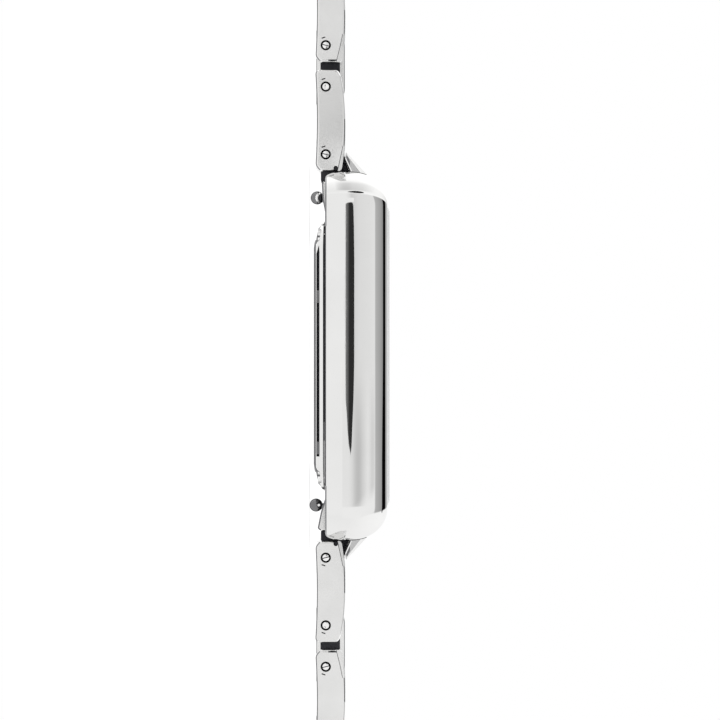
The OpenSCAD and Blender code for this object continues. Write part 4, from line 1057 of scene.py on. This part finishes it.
def build_clasp():
    """Folding clasp: base with its hook and hinge lugs, cover with rounded edges, and the catch link."""
    place, steels = (0, CLASP_Y, PIN_Z), [centre_steel, flank_steel, top_steel]
    knuckle = centre_link_form(0)
    floor_l, floor_z, hook_y = 27.6, -0.1, CLASP_L - 6.3
    floor = edge_form(floor_l, 12.8, 0.7, [[0.06, 0], [0, 0.06], [0, 0.64], [0.06, 0.7]], 8, 4)
    floor = moved(floor, (0, 2.4 + floor_l / 2, -0.8))
    tongue = block(-TONGUE_HALF, TONGUE_HALF, 0, 3.1, -0.8, -0.1, 0.05)
    ear = softened([[3.3, -0.8], [4.5, -0.8], [4.5, 0.5], [4.3, 0.95], [3.9, 1.1], [3.5, 0.95], [3.3, 0.5]], 0.12)
    lugs = two_along_x(ear, 5.65, 0.75, rounded_ends(0.06, 3))
    hook = softened([
        [hook_y, floor_z - 0.35], [hook_y + 0.7, floor_z - 0.35], [hook_y + 0.7, floor_z + 0.975],
        [hook_y + 0.525, floor_z + 1.15], [hook_y - 1.6, floor_z + 1.15], [hook_y - 1.6, floor_z + 0.8],
        [hook_y, floor_z + 0.8],
    ], 0.1)
    hook = along_x(hook, -2.2, 2.2, rounded_ends(0.06, 3))
    base = moved(join(knuckle, floor, tongue, hook, *lugs), place)
    piece("clasp_floor", at_side(base, "6"), steels, "clasp", ["clasp_base"],
          lambda c, n: np.where(np.abs(n[:, 0]) > 0.9, 1, np.where(n[:, 2] < -0.9, 2, 0)))

    far = LID_Y + LID_L
    lid = block(-7, 7, LID_Y, far, LID_TOP - 0.5, LID_TOP, 0.12)
    skirt = softened([
        [3.0, 0.2], [3.2, -0.3], [LID_Y, -0.6], [far, -0.6], [far, LID_TOP - 0.02], [LID_Y, LID_TOP - 0.02],
        [3.3, 1.2], [3.0, 0.8],
    ], 0.3)
    skirts = two_along_x(skirt, 6.75, 0.25, rounded_ends(0.1, 4))
    lip = block(-6.95, 6.95, far - 0.35, far - 0.01, LID_TOP - 1.15, LID_TOP - 0.1, 0.08)
    cover = moved(join(lid, lip, *skirts), place)
    piece("clasp_lid", at_side(cover, "6"), [bevel_steel, flank_steel, top_steel], "clasp_cover", ["clasp_cover"],
          lambda c, n: np.where(np.abs(n[:, 0]) > 0.97, 1, np.where(n[:, 2] > 0.97, 2, 0)))

    root = CATCH_L - CATCH_SLOT - ROD_R
    tongue = softened([[0, -0.6], [root, -0.6], [root, 0.4], [2.2, 0.4], [0.6, 1.52], [0, 1.52]], 0.15)
    tongue = along_x(tongue, -TONGUE_HALF, TONGUE_HALF, rounded_ends(0.08, 4))
    yoke = block(-4.9, 4.9, 2.2, root, -0.6, 0.4, 0.15)
    rails = [block(s * 4.4 - 0.5, s * 4.4 + 0.5, 2.4, CATCH_L, -0.6, 0.4, 0.15) for s in BOTH]
    rod = moved(lathe([[-4.9, 0.3], [-4.82, ROD_R], [4.82, ROD_R], [4.9, 0.3]], 32), (0, CATCH_L, -0.06))
    catch = moved(join(knuckle, tongue, yoke, rod, *rails), place)
    piece("catch_yoke", catch, steels, "catch", ["catch_link"],
          lambda c, n: np.where(np.abs(n[:, 0]) > 0.9, 1, np.where(np.abs(n[:, 2]) > 0.9, 2, 0)))


# ---------------------------------------------------------------- pieces

build_case()
build_crystal()
build_back_cover()
build_dial()
build_hands()
build_crown()
build_bracelet()
build_clasp()

# Pieces that stay as the CAD has them, with the finish of each
KEPT = {
    "dial": dial_silver, "back_gasket": gasket_rubber, "case_screws": pin_steel, "crown_tube": case_steel,
    "movement_holder": holder_white, "main_plate": plate_brass, "train_bridge": bridge_nickel,
    "circuit_board": board_green, "coil": coil_copper, "battery": cell_steel, "cannon_pinion": wheel_brass,
    "hour_wheel": wheel_brass, "minute_wheel": wheel_brass, "winding_stem": pin_steel, "setting_lever": wheel_brass,
    "spring_bar_12": pin_steel, "spring_bar_6": pin_steel, "clasp_pin": pin_steel,
}
for name, finish in KEPT.items():
    mesh = nodes[name].data
    mesh.materials.clear()
    mesh.materials.append(finish)


# ---------------------------------------------------------------- stage, light and camera

WHITE = (1, 1, 1, 1)
# Level of the studio at the horizon, in front of the flank
HORIZON = 0.93
QUAD = [[0, 1, 2, 3]]


def emptied(owner):
    """Node tree of a material or world, without its first nodes."""
    owner.use_nodes = True
    owner.node_tree.nodes.clear()
    return owner.node_tree


def glowing(tree, strength, kind="ShaderNodeEmission"):
    """White light of the given strength."""
    return node(tree, kind, [("Color", WHITE), ("Strength", strength)]).outputs[0]


def either(tree, share, first, second):
    """Two shaders mixed by the share of the second."""
    return node(tree, "ShaderNodeMixShader", [(0, share), (1, first), (2, second)]).outputs[0]


def between(tree, share, first, second):
    """Two levels mixed by the share of the second."""
    return node(tree, "ShaderNodeMix", [("Factor", share), (2, first), (3, second)], data_type="FLOAT").outputs[0]


def build_corner(tree, start, end):
    """What a corner of the case mirrors, by t = y / (1 - x) of the ray, the tangent of the angle that the mirroring
    surface has turned (1.02 in place of 1 keeps t finite), and by the ray's height z. Share says how far this level
    replaces the one in front of the flank; the level is nearly white, with a soft grey patch near the horizon where
    t passes 0.6."""
    way = node(tree, "ShaderNodeSeparateXYZ", [(0, start.outputs["Way"])])
    ahead = maths(tree, "SUBTRACT", 1.02, way.outputs[0])
    tangent = maths(tree, "DIVIDE", way.outputs[1], ahead)
    place = spread(tree, tangent, -1.5, 1.5, 0.0, 1.0)

    def over(stops):
        """Ramp over t, from -1.5 to 1.5."""
        return ramp(tree, place, [(t / 3 + 0.5, level) for t, level in stops])

    tree.links.new(over([(-0.31, 1), (-0.25, 0), (0.38, 0), (0.42, 1)]), end.inputs["Share"])
    level = over([
        (-1, 1.0), (-0.5, 0.97), (-0.3, 0.96), (0.42, 1.04), (0.47, 1.0), (0.55, 1.0), (0.85, 1.0), (1.1, 1.0)])
    bright = over([(0.55, 0.0), (0.85, 0.5), (1.1, 1.0)])
    patch = over([(0.49, 0), (0.54, 1), (0.85, 0.85), (1.05, 0.2), (1.3, 0)])
    band = ramp(tree, spread(tree, way.outputs[2], -1.0, 1.0, 0.0, 1.0),
                [(0.4, 0), (0.49, 0.95), (0.5, 1.0), (0.55, 0.75), (0.72, 0.62), (0.85, 0.3), (0.93, 0)])
    both = maths(tree, "MULTIPLY", patch, band)
    less = maths(tree, "MULTIPLY_ADD", both, -0.34, 1.0)
    more = maths(tree, "MULTIPLY_ADD", bright, 0.22, level)
    total = maths(tree, "MULTIPLY", less, more)
    tree.links.new(total, end.inputs["Level"])


CORNER = group("corner_level", [("Way", VECTOR, (-1, 0, 0))], [("Share", FLOAT), ("Level", FLOAT)], build_corner)


# Level against the angle phi in degrees
FLANK_LEVELS = (
    (-180, 0.8), (-60, 0.92), (-0.5, HORIZON), (6, 0.7), (20, 0.8), (60, 0.84), (73, 0.86), (77, 0.5), (104, 0.38),
    (115, 0.28), (116.5, 0.002), (135, 0.002), (137, 0.36), (141, 0.45), (160, 0.6), (179, 0.8),
)


def build_world():
    """Studio round the watch, as seen by reflections. In front of a flank the level follows the angle
    phi = atan2(z, -x) round the bracelet's axis (0 towards the camera's side, 90 straight up), with a grey and a
    black flag high on the far side; round a corner it follows the corner group. The camera itself sees plain
    white."""
    world = bpy.data.worlds.new("studio")
    bpy.context.scene.world = world
    tree = emptied(world)
    ray = node(tree, "ShaderNodeTexCoord").outputs["Generated"]
    way = node(tree, "ShaderNodeSeparateXYZ", [(0, ray)])
    back = maths(tree, "MULTIPLY", way.outputs[0], -1.0)
    phi = maths(tree, "ARCTAN2", way.outputs[2], back)
    turn = maths(tree, "MULTIPLY_ADD", phi, 1 / (2 * math.pi), 0.5)
    plane = ramp(tree, turn, [(degrees / 360 + 0.5, level) for degrees, level in FLANK_LEVELS])
    corner = use(tree, CORNER)
    tree.links.new(ray, corner.inputs["Way"])
    lift = spread(tree, way.outputs[2], 0.0, 1.0, 0.95, 1.08)
    lifted = maths(tree, "MULTIPLY", lift, corner.outputs["Level"])
    seen = blended(tree, corner.outputs["Share"], plane, lifted)
    studio = node(tree, "ShaderNodeBackground", [("Color", seen), ("Strength", 1.0)]).outputs[0]
    white = glowing(tree, 1.0, "ShaderNodeBackground")
    direct = node(tree, "ShaderNodeLightPath").outputs["Is Camera Ray"]
    node(tree, "ShaderNodeOutputWorld", [(0, either(tree, direct, studio, white))])


def stage_piece(name, points, faces, material):
    """Flat piece of the studio, not part of the watch."""
    mesh = bpy.data.meshes.new(name)
    mesh.from_pydata((np.asarray(points, float) * MM).tolist(), [], faces)
    mesh.materials.append(material)
    thing = placed(name, mesh)
    return thing


# How far the floor goes each way, and how far it lies below the watch
FLOOR_REACH, FLOOR_GAP = 900, 0.03


def build_floor():
    """Pale floor just under the lowest point: it glows a little, so that its soft shadows stay pale. Mirrored, it
    goes on from the studio's level at the horizon."""
    material = bpy.data.materials.new("floor_pale")
    tree = emptied(material)
    glow = glowing(tree, 0.8)
    matt = node(tree, "ShaderNodeBsdfDiffuse", [("Color", (0.36, 0.36, 0.36, 1))]).outputs[0]
    both = node(tree, "ShaderNodeAddShader", [(0, glow), (1, matt)]).outputs[0]
    incoming = node(tree, "ShaderNodeNewGeometry").outputs["Incoming"]
    ray = node(tree, "ShaderNodeVectorMath", [(0, incoming), (1, (-1, -1, -1))], operation="MULTIPLY")
    corner = use(tree, CORNER)
    tree.links.new(ray.outputs[0], corner.inputs["Way"])
    dimmed = maths(tree, "MULTIPLY", corner.outputs["Level"], 0.95)
    mirrored = glowing(tree, between(tree, corner.outputs["Share"], HORIZON, dimmed))
    glossy = node(tree, "ShaderNodeLightPath").outputs["Is Glossy Ray"]
    node(tree, "ShaderNodeOutputMaterial", [(0, either(tree, glossy, both, mirrored))])
    low = cad_bounds[0][2] / MM - FLOOR_GAP
    corners = [[x * FLOOR_REACH, y * FLOOR_REACH, low] for x, y in ((-1, -1), (1, -1), (1, 1), (-1, 1))]
    stage_piece("floor", corners, QUAD, material)


def hidden_card(name, points, faces, shade):
    """Card that shows only in reflections; shade gives its level, and if wanted how solid it is, as sockets."""
    material = bpy.data.materials.new(name)
    tree = emptied(material)
    level, cover = shade(tree, node(tree, "ShaderNodeSeparateXYZ", [(0, own_place(tree))]))
    glow = glowing(tree, level)
    if cover:
        clear = node(tree, "ShaderNodeBsdfTransparent", [("Color", WHITE)]).outputs[0]
        glow = either(tree, cover, clear, glow)
    node(tree, "ShaderNodeOutputMaterial", [(0, glow)])
    card = stage_piece(name, points, faces, material)
    card.visible_camera = False
    card.visible_diffuse = False
    card.visible_shadow = False
    card.visible_transmission = False


def ribbon(name, first, second, shade):
    """Hidden card between two edges of equally many points."""
    count = len(first)
    faces = [[i, i + 1, count + 1 + i, count + i] for i in range(count - 1)]
    hidden_card(name, np.concatenate([first, second]), faces, shade)


def wall(x, y0, y1, z0, z1):
    """Corners of an upright rectangle that faces the flank."""
    return [[x, y0, z0], [x, y1, z0], [x, y1, z1], [x, y0, z1]]


def even(level):
    """Shade of one level all over."""
    return lambda tree, place: (level, None)


def drop_shade(tree, place):
    """Nearly black, paler low down."""
    return spread(tree, place.outputs[2], 2.6 * MM, 5.0 * MM, 0.2, 0.028), None


# Level of the veil against the angle in degrees, and the largest angle that it reads
VEIL_LEVELS = (
    (0, 0.87), (3, 0.83), (6, 0.77), (10, 0.67), (14, 0.6), (18.5, 0.575), (23.5, 0.61), (29, 0.7), (35, 0.77),
    (41, 0.835), (47, 0.87), (54, 0.81), (61, 0.72), (69, 0.745),
)
VEIL_MOST = 75


def veil_shade(tree, place):
    """Level by the angle at which the card's height is seen from the flank, atan((z - 4) / 54); it ends in white
    along a line that leans with that angle."""
    rise = maths(tree, "SUBTRACT", place.outputs[2], 4 * MM)
    angle = maths(tree, "ARCTAN2", rise, 54 * MM)
    part = maths(tree, "MULTIPLY", angle, 180 / math.pi / VEIL_MOST)
    level = ramp(tree, part, [(a / VEIL_MOST, v) for a, v in VEIL_LEVELS])
    edge = spread(tree, part, 0.0, 0.55, -18 * MM, -14.8 * MM)
    past = maths(tree, "SUBTRACT", edge, place.outputs[1])
    white = spread(tree, past, -1.5 * MM, 1.8 * MM, 0.0, 1.0)
    shown = between(tree, white, level, 0.94)
    cover = spread(tree, place.outputs[1], 1 * MM, -10 * MM, 0.0, 1.0, interpolation_type="SMOOTHSTEP")
    return shown, cover


# Edges of the drop as (places, heights), angle of the bar's first edge as (places, degrees), and how far off each is
DROP_X, SHIELD_X, VEIL_X, BAR_OFF, LENS_OFF, BLACK = -60.0, -20, -62, 80, 60, 0.003
DROP_HIGH = (
    [-9.1, -8.3, -6.9, -4.1, -1, 9, 13, 17, 21, 23, 24, 24.5],
    [6.7, 8.1, 8.9, 11.0, 12.5, 12.7, 11.7, 10.7, 10.2, 9.5, 8.6, 7.2],
)
DROP_LOW = (
    [-9.1, -8.3, -6.9, -4.1, -1, 20, 22, 23.3, 24.1, 24.5],
    [6.5, 4.6, 3.6, 2.5, 2.4, 2.5, 2.9, 3.8, 5.0, 6.6],
)
BAR_FIRST = (
    [-34.5, -33, -30, -24, -10, -7.1, -4.2, -1, 2],
    [117, 114, 111.5, 110.3, 110.3, 112, 114, 116, 117.4],
)


def build_cards():
    """Cards round the flank: a long black drop, round at the 12 o'clock end and pointed at the other; a veil behind
    it that fades in towards 6 o'clock and ends in white; a pale shield that keeps the drop out of the hood; a black
    bar overhead that widens towards 6 o'clock, placed 80 from the flank at the angle at which it is seen; and a thin
    black lens in the reflection of the corner, where the corner has turned by 24.6 degrees. A point of the lens is
    the place on the case plus 60 times the mirrored ray, d - 2 (d.n) n."""
    y = np.concatenate([np.linspace(-9.1, -3, 20), np.linspace(-2, 12, 10), np.linspace(12.5, 24.5, 50)])
    x = np.full(len(y), DROP_X)
    ribbon("drop", *[np.stack([x, y, np.interp(y, *edge)], -1) for edge in (DROP_HIGH, DROP_LOW)], drop_shade)
    hidden_card("shield", wall(SHIELD_X, 15.7, 18.6, 2.3, 5.2), QUAD, even(HORIZON))
    hidden_card("veil", wall(VEIL_X, 1, -60, 0.6, 170), QUAD, veil_shade)

    y = np.array([2, -1, -4.2, -7.1, -10, -14, -24, -30, -33, -34.5])
    angles = np.radians(np.interp(y, *BAR_FIRST)), np.full(len(y), np.radians(117.5))
    ribbon("bar", *[
        np.stack([-10.7 - BAR_OFF * np.cos(a), y, 6.2 + BAR_OFF * np.sin(a)], -1) for a in angles], even(BLACK))

    tilt, rim = np.linspace(0.3, 17.3, 40), []
    for edge in BOTH:
        width = 1.9 * np.sqrt(np.maximum(1 - ((tilt - 8.8) / 8.5) ** 2, 0.001))
        a, b = np.radians(24.6 + edge * width), np.radians(tilt)
        normal = np.stack([-np.cos(b) * np.cos(a), np.cos(b) * np.sin(a), np.sin(b)], -1)
        mirrored = np.array([1.0, 0, 0]) - 2 * normal[:, :1] * normal
        place = np.stack([np.full(40, -10.7), np.full(40, 14.2), 2.9 + 3.5 * (tilt / 40)], -1)
        rim.append(place + LENS_OFF * mirrored)
    ribbon("lens", *rim, even(BLACK))


# Focal length, width of the sensor, width shown, and the plane at which it is shown
LENS, SENSOR, FIELD, SEEN_X = 400.0, 36.0, 62.6, -8.0


def build_camera():
    """Camera square to the 9 o'clock flank, its top to 12 o'clock, with a long lens: it shows the field's width at
    the plane seen from lens / sensor times that width."""
    data = bpy.data.cameras.new("camera")
    data.lens = LENS
    data.sensor_width = SENSOR
    data.clip_end = 10
    camera = placed("camera", data)
    camera.location = Vector((SEEN_X - LENS / SENSOR * FIELD, -0.35, 4.03)) * MM
    camera.rotation_mode = "QUATERNION"
    camera.rotation_quaternion = Matrix(((0, 0, -1), (0, 1, 0), (1, 0, 0))).to_quaternion()
    bpy.context.scene.camera = camera


build_world()
build_floor()
build_cards()
build_camera()
bpy.context.scene.view_settings.view_transform = "Standard"
